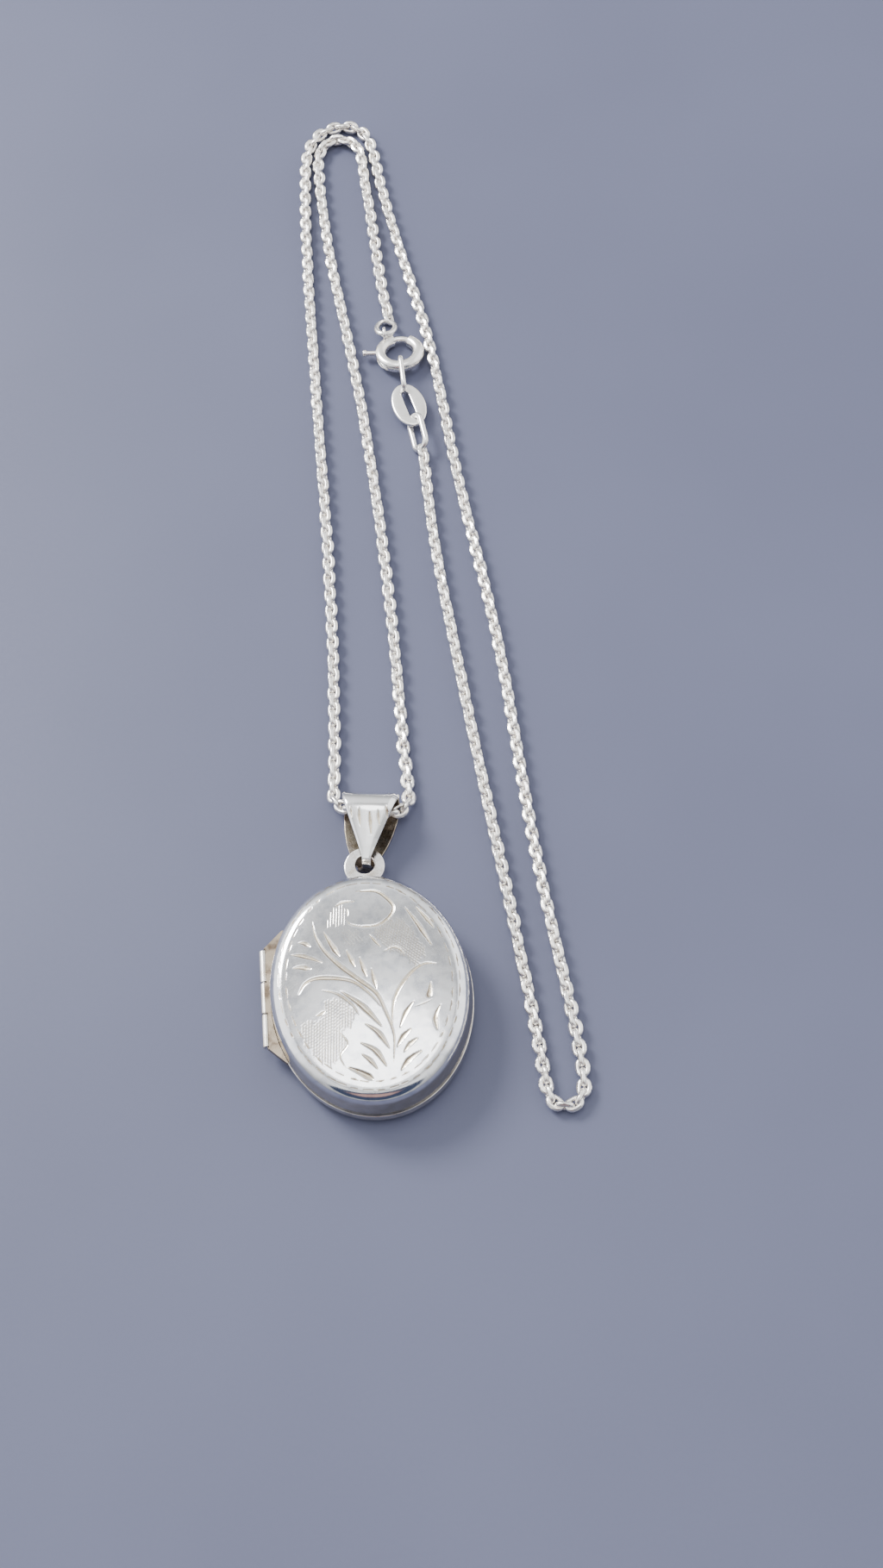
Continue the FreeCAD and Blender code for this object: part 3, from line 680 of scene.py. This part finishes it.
# each stroke: points (x, y), half width, depth, where it is widest
STROKES = [
    # scroll with its hook
    ([(-0.8, 10.2), (1.0, 10.1), (2.0, 9.5), (2.9, 8.2), (2.5, 7.1), (1.5, 6.3), (0.6, 6.1), (-0.6, 6.2),
      (-1.6, 6.6), (-2.0, 7.2)], 0.2, 0.1, 0.3),
    ([(-3.0, 8.7), (-2.2, 9.1), (-1.0, 9.1)], 0.15, 0.08, 0.35),
    ([(-1.8, 8.4), (-1.75, 7.9), (-1.8, 7.4)], 0.09, 0.06, 0.5),
    # long cuts at the upper right
    ([(4.0, 8.1), (5.3, 5.9), (6.5, 3.5)], 0.25, 0.12, 0.6),
    ([(5.1, 8.0), (6.0, 6.8), (6.9, 5.4)], 0.22, 0.1, 0.6),
    # main stem, left arch and right arch
    ([(-5.4, 7.3), (-5.1, 5.6), (-4.3, 3.9), (-2.9, 2.2), (-1.2, 0.6), (0.6, -1.1), (1.4, -3.0), (2.1, -5.6),
      (1.9, -8.4)], 0.26, 0.13, 0.35),
    ([(-7.2, -0.6), (-6.4, 0.6), (-5.2, 1.0), (-3.3, 0.8), (-1.5, 0.2), (0.1, -1.3), (1.1, -2.7)],
     0.24, 0.12, 0.35),
    ([(2.0, -4.8), (2.1, -3.3), (2.4, -1.9), (3.2, -0.4), (4.5, 1.0), (5.7, 1.6), (6.9, 1.5)],
     0.22, 0.11, 0.6),
    # wedge cuts along the stem
    ([(-4.3, 6.0), (-3.5, 4.4), (-2.8, 3.1)], 0.3, 0.14, 0.7),
    ([(-2.1, 3.7), (-1.7, 2.8), (-1.3, 1.8)], 0.27, 0.13, 0.6),
    ([(-0.8, 2.8), (-0.5, 1.7), (-0.2, 0.6)], 0.27, 0.13, 0.6),
    ([(0.3, 1.5), (0.5, 0.4), (0.7, -0.8)], 0.26, 0.13, 0.55),
    ([(0.3, 5.2), (0.8, 4.5), (1.4, 3.7)], 0.17, 0.08, 0.5),
    ([(1.6, 3.2), (2.6, 3.6), (3.3, 3.3), (3.8, 2.5)], 0.13, 0.07, 0.5),
    # small leaves at the left edge
    ([(-6.9, 5.1), (-6.3, 5.0), (-5.7, 4.5)], 0.26, 0.11, 0.6),
    ([(-7.7, 3.9), (-6.2, 3.5), (-4.5, 2.6)], 0.25, 0.12, 0.4),
    ([(-7.6, 2.4), (-6.7, 2.4), (-5.7, 2.1)], 0.3, 0.12, 0.65),
    # isolated cuts at the right
    ([(6.1, -0.4), (6.0, -1.2), (5.8, -2.0)], 0.33, 0.12, 0.85),
    ([(6.9, -2.8), (6.3, -4.1), (6.4, -5.5)], 0.25, 0.13, 0.6),
    ([(4.3, -2.9), (5.3, -2.6), (6.2, -2.2)], 0.05, 0.03, 0.5),
    # leaves falling to the left of the stem
    ([(-4.8, -0.3), (-3.2, -0.9), (-1.8, -2.2), (-1.2, -3.3)], 0.15, 0.08, 0.5),
    ([(-2.9, -0.6), (-0.8, -2.4), (1.0, -4.7)], 0.33, 0.15, 0.55),
    ([(-0.7, -4.2), (0.6, -5.3), (1.6, -7.0)], 0.29, 0.14, 0.55),
    ([(-1.3, -6.1), (0.2, -7.1), (1.2, -8.8)], 0.3, 0.14, 0.55),
    ([(-1.2, -7.3), (-0.4, -8.0), (0.3, -9.0)], 0.24, 0.12, 0.5),
    # leaves to the right of the stem
    ([(4.3, -2.3), (3.4, -3.5), (2.7, -5.0)], 0.24, 0.12, 0.45),
    ([(3.9, -5.1), (3.0, -5.9), (2.3, -6.9)], 0.27, 0.13, 0.5),
    ([(4.5, -6.1), (3.6, -6.7), (2.9, -7.5)], 0.23, 0.12, 0.5),
    ([(4.8, -7.4), (3.5, -8.2), (2.5, -9.3)], 0.29, 0.14, 0.6),
    # marks round the hatched patch
    ([(-5.5, -3.0), (-5.0, -2.8), (-4.5, -2.5)], 0.17, 0.08, 0.6),
    ([(-3.3, -4.8), (-2.5, -6.1), (-3.3, -7.3), (-2.8, -8.7)], 0.09, 0.06, 0.5),
    ([(-0.2, -10.0), (-1.4, -9.2), (-2.7, -8.5)], 0.36, 0.15, 0.2),
]
UPPER_LEFT_HATCH = [(-2.5, 9.0), (-1.9, 8.7), (-2.0, 6.9), (-2.7, 6.5), (-4.2, 6.5), (-3.5, 8.2)]
UPPER_RIGHT_HATCH = [(0.6, 5.4), (2.3, 6.7), (3.5, 6.6), (4.6, 5.5), (5.5, 3.6), (5.9, 2.6), (4.7, 1.6),
                     (3.8, 2.5), (1.7, 3.8)]
UPPER_MIDDLE_HATCH = [(-2.7, 5.9), (-0.6, 5.7), (-0.4, 4.2), (-2.2, 4.4)]
LOWER_HATCH = [(-4.6, -1.5), (-2.8, -1.4), (-1.4, -3.1), (-2.1, -4.4), (-3.3, -4.8), (-2.5, -6.1),
               (-3.4, -7.4), (-4.3, -8.2), (-5.6, -7.3), (-6.8, -5.5), (-7.0, -3.5), (-5.4, -3.6),
               (-4.5, -2.8)]
# each patch: outline, lines, depth, how uneven the lines' ends are, how strongly the lines are tinted
HATCHES = [
    (UPPER_LEFT_HATCH, straight_lines(math.radians(86), 0.28), 0.022, 0.35, 0.7),
    (UPPER_RIGHT_HATCH, straight_lines(math.radians(-42), 0.25), 0.014, 0.35, 0.7),
    (UPPER_RIGHT_HATCH, straight_lines(math.radians(76), 0.27), 0.014, 0.35, 0.7),
    (UPPER_MIDDLE_HATCH, straight_lines(math.radians(-55), 0.3), 0.014, 0.3, 0.4),
    (LOWER_HATCH, straight_lines(math.radians(86), 0.28), 0.018, 0.35, 0.7),
    (LOWER_HATCH, zigzag_lines(0.95, 0.8, 0.34), 0.012, 0.2, 0.4),
]
# each border: half width, half height, number of dashes
BORDERS = [(8.29, 10.68, 41), (9.01, 11.49, 45)]
BORDER_CENTRE = (-0.04, 0.46)
BORDER_TURN = math.radians(4.1)
DASH_SHARE = 0.88
DASH_DEPTH = 0.025


def cover_section(inset, face_z, low_z):
    """Lengths of the cover's face, shoulder and wall, and a function of arc length along them."""
    ball = DOME_RADIUS - inset
    shoulder = SHOULDER - inset
    ball_z = face_z - DOME_RADIUS
    bend_x = HALF_WIDTH - SHOULDER_INSET
    bend_z = ball_z + math.sqrt((ball - shoulder) ** 2 - bend_x ** 2)
    rim = np.array([HALF_WIDTH - RIM_INSET - inset, low_z])
    to_rim = rim - (bend_x, bend_z)
    wall_angle = math.atan2(to_rim[1], to_rim[0]) + math.acos(shoulder / np.linalg.norm(to_rim))
    face_turn = math.asin(bend_x / (ball - shoulder))
    start_angle = math.pi / 2 - face_turn
    face_length = ball * face_turn
    bend_length = shoulder * (start_angle - wall_angle)
    wall_top = np.array([bend_x + shoulder * math.cos(wall_angle), bend_z + shoulder * math.sin(wall_angle)])

    def at(length):
        """Section point and outward normal at arc lengths from the crown."""
        length = np.asarray(length, dtype=float)
        on_face = length < face_length
        turn = np.where(on_face, length / ball, face_turn)
        bend_angle = start_angle - np.clip(length - face_length, 0, bend_length) / shoulder
        past = np.clip(length - face_length - bend_length, 0, None)
        x = np.where(on_face, ball * np.sin(turn), bend_x + shoulder * np.cos(bend_angle))
        z = np.where(on_face, ball_z + ball * np.cos(turn), bend_z + shoulder * np.sin(bend_angle))
        down = (rim - wall_top) / np.linalg.norm(rim - wall_top)
        x, z = x + past * down[0], z + past * down[1]
        nx = np.where(on_face, np.sin(turn), np.cos(bend_angle))
        nz = np.where(on_face, np.cos(turn), np.sin(bend_angle))
        return x, z, nx, nz

    return face_length, bend_length, float(np.linalg.norm(rim - wall_top)), at


def disc_grid(rings):
    """Square grid bent into a disc: each point's ring number and angle, row by row."""
    side = np.arange(-rings, rings + 1)
    a, b = np.meshgrid(side, side, indexing="ij")
    ring = np.maximum(np.abs(a), np.abs(b))
    first = np.abs(a) >= np.abs(b)
    slope = np.where(first, b / np.where(a == 0, 1, a), a / np.where(b == 0, 1, b))
    angle = np.where(first, math.pi / 4 * slope + np.where(a < 0, math.pi, 0),
                     math.pi / 2 - math.pi / 4 * slope + np.where(b < 0, math.pi, 0))
    return ring.reshape(-1), angle.reshape(-1)


def rim_loop(rings):
    """Indices of the disc grid's outermost points, in order round the edge."""
    size = 2 * rings + 1
    last = size - 1
    right = [last * size + column for column in range(last)]
    top = [row * size + last for row in range(last, 0, -1)]
    left = list(range(last, 0, -1))
    bottom = [row * size for row in range(last)]
    return right + top + left + bottom


def border_dash(half_width, half_height, count, number, rng):
    """One dash of a border, a little off its even place and out of line."""
    start = 2 * math.pi * (number + rng.uniform(-0.08, 0.08)) / count
    sweep = 2 * math.pi * DASH_SHARE / count * rng.uniform(0.8, 1.1)
    drift = rng.uniform(-0.07, 0.07)
    dash = [((half_width + drift * share) * math.cos(start + sweep * share),
             (half_height + drift * share) * math.sin(start + sweep * share)) for share in (0, 0.5, 1)]
    return turned(dash, BORDER_TURN) + BORDER_CENTRE


def engrave_cover(plan):
    """All the cuts on the front cover, at the places in plan."""
    cuts = Engraving(plan)
    rng = random.Random(11)
    for points, half_width, depth, belly in STROKES:
        cuts.stroke(points, half_width, depth, belly)
    for outline, lines, depth, ragged, shade in HATCHES:
        cuts.hatch(outline, lines, depth, ragged, shade, rng)
    for half_width, half_height, count in BORDERS:
        for number in range(count):
            dash = border_dash(half_width, half_height, count, number, rng)
            cuts.stroke(dash, rng.uniform(0.06, 0.08), DASH_DEPTH, 0.6, 0.8, rng.uniform(0.6, 1.0))
    return cuts


def cover_top(section):
    """Engraved face and shoulder: points, angles, how much of the wall's shade each has, and the cuts."""
    face_length, bend_length, _, outer = section
    rings = FACE_RINGS + SHOULDER_RINGS
    ring, angle = disc_grid(rings)
    lengths = np.interp(ring, [0, FACE_RINGS, rings], [0, face_length, face_length + bend_length])
    x, z, nx, nz = outer(lengths)
    stretch = HALF_HEIGHT / HALF_WIDTH
    top = np.stack([x * np.cos(angle), x * np.sin(angle) * stretch, z], axis=1)
    normal = np.stack([nx * np.cos(angle), nx * np.sin(angle) / stretch, nz], axis=1)
    normal /= np.linalg.norm(normal, axis=1)[:, None]
    cuts = engrave_cover(seated(top)[:, :2])
    top -= normal * cuts.depth[:, None]
    shade = np.clip((ring - FACE_RINGS) / SHOULDER_RINGS * 4 - 3, 0, 1)
    return top, angle, shade, cuts


def wall_loops(section, angles):
    """Loops of points down the outside of the wall."""
    face_length, bend_length, wall_length, outer = section
    places = face_length + bend_length + wall_length * np.linspace(0, 1, WALL_RINGS + 1)[1:]
    return [section_loop(outer(place), angles, HALF_HEIGHT / HALF_WIDTH) for place in places]


def underside_loops(section, angles):
    """Loops of points up the inside of the wall and in under the face."""
    in_face, in_bend, in_wall, inner = section
    places = [in_face + in_bend + in_wall]
    places += [in_face + in_bend * share for share in (1, 0.66, 0.33, 0)]
    places += [in_face * share for share in (0.8, 0.6, 0.4, 0.2)]
    stretch = (HALF_HEIGHT - SHEET) / (HALF_WIDTH - SHEET)
    return [section_loop(inner(place), angles, stretch) for place in places]


def loop_faces(edge, loops, start, centre):
    """Quads from the edge through each loop in turn, closed by a fan on the centre point."""
    faces, previous = [], np.array(edge)
    for number in range(loops):
        current = start + number * len(edge) + np.arange(len(edge))
        quads = np.stack([previous, np.roll(previous, -1), np.roll(current, -1), current], axis=1)[:, ::-1]
        faces += quads.tolist()
        previous = current
    return faces + [[int(a), int(b), centre][::-1] for a, b in zip(previous, np.roll(previous, -1))]


def make_front_cover(material):
    """Domed cover with every graver cut modelled, open underneath."""
    low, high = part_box("front_cover")
    face_z, low_z = high.z / MM, low.z / MM
    section = cover_section(0, face_z, low_z)
    top, angle, shade, cuts = cover_top(section)
    rings = FACE_RINGS + SHOULDER_RINGS
    edge = rim_loop(rings)
    outside = wall_loops(section, angle[edge])
    inside = underside_loops(cover_section(SHEET, face_z, low_z), angle[edge])
    points = seated(np.vstack([top] + outside + inside + [[[0, 0, face_z - SHEET]]]))
    faces = grid_faces(2 * rings + 1, 2 * rings + 1)
    faces += loop_faces(edge, len(outside + inside), len(top), len(points) - 1)
    wall_end = len(top) + len(outside) * len(edge)
    spare = len(points) - len(top)
    # the cuts' dark steep sides: oxidised silver plus painted shade; the inside is lightly oxidised
    tarnish = np.concatenate([cuts.dark, np.zeros(spare)])
    tarnish[wall_end:] = INSIDE_TARNISH
    cover = mesh_piece("front_cover_engraved", points, faces, material, "front_half", "engraved_silver",
                       engraved=np.concatenate([cuts.inside, np.zeros(spare)]), tarnish=tarnish,
                       shaded=np.concatenate([shade, np.ones(spare)]))
    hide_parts("front_cover")


def turned(points, angle):
    """Points turned about Z."""
    turn = np.array([[math.cos(angle), math.sin(angle)], [-math.sin(angle), math.cos(angle)]])
    moved = np.array(points, dtype=float)
    moved[:, :2] = moved[:, :2] @ turn
    return moved


def seated(points):
    """Points about a cover's centre and long axis, moved to their place in the locket."""
    moved = turned(points, OVAL_TURN)
    moved[:, :2] += OVAL_CENTRE
    return moved


def section_loop(section, angles, stretch):
    """One point of the section carried round the oval at the angles."""
    x, z = float(section[0]), float(section[1])
    return np.stack([x * np.cos(angles), x * np.sin(angles) * stretch, np.full(len(angles), z)], axis=1)


# ==================== bail

BAIL_PIVOT = (0.1, 15.05)
BAIL_LEAN = math.radians(-8.5)
BAIL_SHEET = 0.45
BAIL_COLUMNS = 57
LOOP_Y, LOOP_Z, LOOP_RADIUS = 0.45, 0.6, 0.375  # the small bend through the eyelet
FOLD_Y, FOLD_Z, FOLD_RADIUS = 5.8, 2.25, 2.025  # the large bend at the top
LEAF_SLOPE = math.radians(16.6)
TIP_HALF, TOP_HALF = 0.48, 2.95
LEAF_CROWN = 0.28
LEFT_FACET, RIGHT_FACET = 0.22, 0.5
FACET_SLOPE = 0.6
BACK_CROWN = 0.35  # the back leaf's crown as a share of the front's
FRONT_SHIFT, BACK_SHIFT = 0.17, -0.28
# the front leaf's sides are straight when it is seen at a slant: its height there, and where they start
SEEN_ALONG, SEEN_UP = 0.89, 0.454
TAPER_START, TAPER_LENGTH = 1.85, 6.25
# half widths of the back leaf by distance from the pivot, and of the loop by height
BACK_LEAF = [(0.4, 0.75), (0.8, 1.1), (1.9, 1.74), (3.0, 2.2), (4.4, 2.6), (5.8, 2.84), (7.2, 2.95)]
LOOP_WIDTHS = [(0.25, 0.7), (0.6, 0.5), (1.0, TIP_HALF - 0.04)]
# each flute: points (x, y), half width
FLUTES = [
    ([(-1.8, 5.5), (-1.76, 5.0), (-1.64, 4.4)], 0.11),
    ([(-0.94, 5.45), (-0.87, 4.6), (-0.72, 3.55)], 0.19),
    ([(0.19, 5.15), (0.3, 4.1), (0.43, 2.75)], 0.21),
    ([(1.06, 5.3), (1.15, 4.5), (1.27, 3.7)], 0.18),
    ([(1.87, 5.75), (1.95, 5.2), (2.06, 4.5)], 0.15),
]
TOP_LINE = [(-1.7, 7.8), (0.8, 7.62), (2.8, 7.35)]


def bail_path():
    """Middle line of the strip in its side view: (y, z) round the closed loop, from the tip up the back."""
    tip_y = LOOP_Y - LOOP_RADIUS
    points = [(tip_y, 1.4), (tip_y, 0.75)]
    points += [(LOOP_Y - LOOP_RADIUS * math.cos(a), LOOP_Z - LOOP_RADIUS * math.sin(a))
               for a in np.linspace(0, math.pi / 2, 5)]
    points += [(y, BAIL_SHEET / 2) for y in np.linspace(0.6, FOLD_Y, 50)]
    top = math.pi / 2 + LEAF_SLOPE
    points += [(FOLD_Y + FOLD_RADIUS * math.cos(a), FOLD_Z + FOLD_RADIUS * math.sin(a))
               for a in np.linspace(-math.pi / 2, top, 62)[1:]]
    start = np.array(points[-1])
    down = np.array([-math.cos(LEAF_SLOPE), -math.sin(LEAF_SLOPE)])
    leaf_length = (start[0] - 0.35) / math.cos(LEAF_SLOPE)
    points += [tuple(start + down * step) for step in np.linspace(0, leaf_length, 80)[1:]]
    points += [(0.16, 2.5), (0.085, 2.25)]
    return np.array(points)


def on_front(y, z):
    """0 on the back leaf, 1 on the front, turning over round the fold."""
    middle = np.interp(y, [0, 6], [1.3, FOLD_Z])
    spread = np.interp(y, [0, 6], [1.2, 2.4])
    share = np.clip((z - middle) / spread + 0.5, 0, 1)
    return share * share * (3 - 2 * share)


def strip_half_width(y, z):
    """Half width of the bail's strip: bellied on the back leaf, with straight sides on the front."""
    seen_height = SEEN_ALONG * y + SEEN_UP * z
    front = TIP_HALF + (TOP_HALF - TIP_HALF) * np.clip((seen_height - TAPER_START) / TAPER_LENGTH, 0, 1)
    back = np.interp(y, *zip(*BACK_LEAF))
    loop = np.interp(z, *zip(*LOOP_WIDTHS))
    return np.where(y < 0.5, loop, back + (front - back) * on_front(y, z))


def strip_shift(y, z):
    """Sideways offset of the strip: the two leaves cross slightly at the eyelet."""
    front = FRONT_SHIFT * np.clip(1 - y / 8, 0, 1)
    back = BACK_SHIFT * np.clip(1 - y / 7.2, 0, 1)
    share = np.where(y < 0.5, np.clip((z - 0.3) / 1.1, 0, 1), on_front(y, z))
    return back + (front - back) * share


def engrave_bail(x, y, on_leaf):
    """The flutes and the line above them, on the front leaf only."""
    cuts = Engraving(np.stack([x, y], axis=-1).reshape(-1, 2))
    for points, half_width in FLUTES:
        cuts.stroke(points, half_width, 0.15, 0.45, 0.0, 0.25)
    cuts.stroke(TOP_LINE, 0.09, 0.05, 0.5, 0.0, 0.3)
    for layer in (cuts.depth, cuts.inside, cuts.dark):
        layer *= on_leaf.reshape(-1)
    return cuts


def strip_faces(rows, columns):
    """Faces of a closed strip: its outer side, its inner side and its two edges."""
    count = rows * columns
    faces = grid_faces(rows, columns, closed_rows=True)
    faces += [quad[::-1] for quad in grid_faces(rows, columns, closed_rows=True, start=count)]
    for row in range(rows):
        left, left_next = row * columns, (row + 1) % rows * columns
        right, right_next = left + columns - 1, left_next + columns - 1
        faces.append([left, left + count, left_next + count, left_next])
        faces.append([right, right_next, right_next + count, right + count])
    return faces


def make_bail(material):
    """Folded strip with a crowned, fluted front leaf and a dark inside."""
    path = bail_path()
    along = np.roll(path, -1, axis=0) - np.roll(path, 1, axis=0)
    along /= np.linalg.norm(along, axis=1)[:, None]
    outward = np.stack([along[:, 1], -along[:, 0]], axis=1)
    half = strip_half_width(path[:, 0], path[:, 1])[:, None]
    shift = strip_shift(path[:, 0], path[:, 1])[:, None]
    across = np.linspace(-1, 1, BAIL_COLUMNS)[None, :]
    x = half * across
    is_front = np.clip((path[:, 1] - 2.6) / 0.5, 0, 1)[:, None]
    crown = LEAF_CROWN * (half / TOP_HALF) * (1 - across ** 2)
    crown *= np.interp(path[:, 0], [5.6, 7.6], [1.0, 0.25])[:, None]
    crown *= BACK_CROWN + (1 - BACK_CROWN) * is_front
    facet_width = np.where(x < 0, LEFT_FACET, RIGHT_FACET) * np.minimum(1, half / 1.2)
    facet = np.clip(facet_width - (half - np.abs(x)), 0, None) * FACET_SLOPE * is_front
    on_leaf = np.repeat(is_front > 0.99, BAIL_COLUMNS, axis=1)
    cuts = engrave_bail(x, np.repeat(path[:, :1], BAIL_COLUMNS, axis=1), on_leaf)
    layers = []
    for lift in (crown + BAIL_SHEET / 2 - facet - cuts.depth.reshape(x.shape), crown - BAIL_SHEET / 2):
        y = path[:, :1] + outward[:, :1] * lift
        z = path[:, 1:] + outward[:, 1:] * lift
        layers.append(np.stack([x + shift, y, z], axis=-1).reshape(-1, 3))
    points = turned(np.vstack(layers), BAIL_LEAN)
    points[:, :2] += BAIL_PIVOT
    # painted shade: the loop's lower rows are darkened in the oxidised colours, for the shadow in the
    # eyelet's hole
    low_loop = (path[:, 0] < 0.7) & (path[:, 1] < 1.5)
    oxide_and_hole_shade = np.maximum(cuts.dark, low_loop.repeat(BAIL_COLUMNS))
    piece = mesh_piece("bail_fluted", points, strip_faces(*x.shape), material, "chain_and_bail",
                       "polished_silver", engraved=np.concatenate([cuts.inside, np.zeros(x.size)]),
                       tarnish=np.concatenate([oxide_and_hole_shade, np.ones(x.size)]))
    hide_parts("bail")


# ==================== making everything

# each silver: tone, stain, how much of the stain shows, roughness, scratches, ripple
SILVERS = {
    "chain_silver": ((0.97, 0.94, 0.90), (0.86, 0.80, 0.71), 0.5, 0.3, 0.1, 0.05),
    "clasp_silver": ((0.97, 0.95, 0.92), (0.86, 0.81, 0.73), 0.4, 0.24, 0.1, 0.1),
    "engraved_silver": ((0.90, 0.90, 0.91), (0.56, 0.58, 0.64), 0.65, 0.10, 0.2, 0.3),
    "polished_silver": ((0.91, 0.91, 0.91), (0.80, 0.78, 0.75), 0.45, 0.12, 0.15, 0.2),
    # back cover: darker, browner tone, partly tarnished silver and partly painted shade for the shadowed
    # table its wall reflects
    "back_silver_shaded": ((0.82, 0.78, 0.73), (0.55, 0.49, 0.42), 0.6, 0.16, 0.2, 0.2),
    "eyelet_silver": ((0.90, 0.88, 0.86), (0.52, 0.44, 0.34), 0.75, 0.2, 0.2, 0.3),
    "inner_silver": ((0.84, 0.80, 0.72), (0.55, 0.45, 0.30), 0.6, 0.26, 0.2, 0.2),
    "hinge_silver": ((0.95, 0.92, 0.87), (0.60, 0.50, 0.38), 0.6, 0.22, 0.2, 0.3),
    # hinge bearers: dark solder brown, deepened into painted shade for the hinge's recess
    "solder_and_shade_silver": ((0.36, 0.30, 0.23), (0.12, 0.085, 0.06), 0.95, 0.3, 0.3, 0.8),
    "hinge_wire": ((0.72, 0.72, 0.73), (0.5, 0.48, 0.45), 0.5, 0.22, 0.3, 0.1),
    "spring_steel": ((0.55, 0.55, 0.57), (0.4, 0.39, 0.38), 0.5, 0.3, 0.2, 0.1),
}


def dress(material, *names):
    """Give CAD nodes a material."""
    for name in names:
        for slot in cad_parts[name].material_slots:
            slot.material = material


def make_floor():
    bpy.ops.mesh.primitive_grid_add(x_subdivisions=8, y_subdivisions=8, size=FLOOR_SIZE,
                                    location=(0, 0, -FLOOR_DROP))
    floor = bpy.context.object
    floor.name = "table_top"
    floor.data.materials.append(satin_board("satin_board"))


make_camera()
make_world()
softbox("overhead", (-0.02, 0.06, 0.62), (0.0, 0.02, 0), 0.3, 0.7)
softbox("window", (-0.36, 0.4, 0.45), (0.005, 0.03, 0), 0.26, 6.5)
make_floor()

metal = {name: silver(name, *look) for name, look in SILVERS.items()}
make_chain(metal["chain_silver"], make_findings(metal["clasp_silver"]))
make_front_cover(metal["engraved_silver"])
make_bail(metal["polished_silver"])
dress(metal["back_silver_shaded"], "back_cover")
dress(metal["eyelet_silver"], "hanging_eyelet")
dress(metal["inner_silver"], "closing_lip", "back_bezel", "front_bezel")
dress(metal["hinge_silver"], "hinge_knuckle_lower", "hinge_knuckle_middle", "hinge_knuckle_upper")
dress(metal["solder_and_shade_silver"], "hinge_bearer_back", "hinge_bearer_front")
dress(metal["hinge_wire"], "hinge_pin")
dress(metal["clasp_silver"], "bolt_ring_body", "bolt_ring_tongue", "bolt_ring_thumb_lever", "bolt_ring_eye")
dress(metal["spring_steel"], "bolt_ring_spring")
dress(acetate("clear_acetate"), "back_window", "front_window")
dress(card("blank_card"), "back_picture_blank", "front_picture_blank")
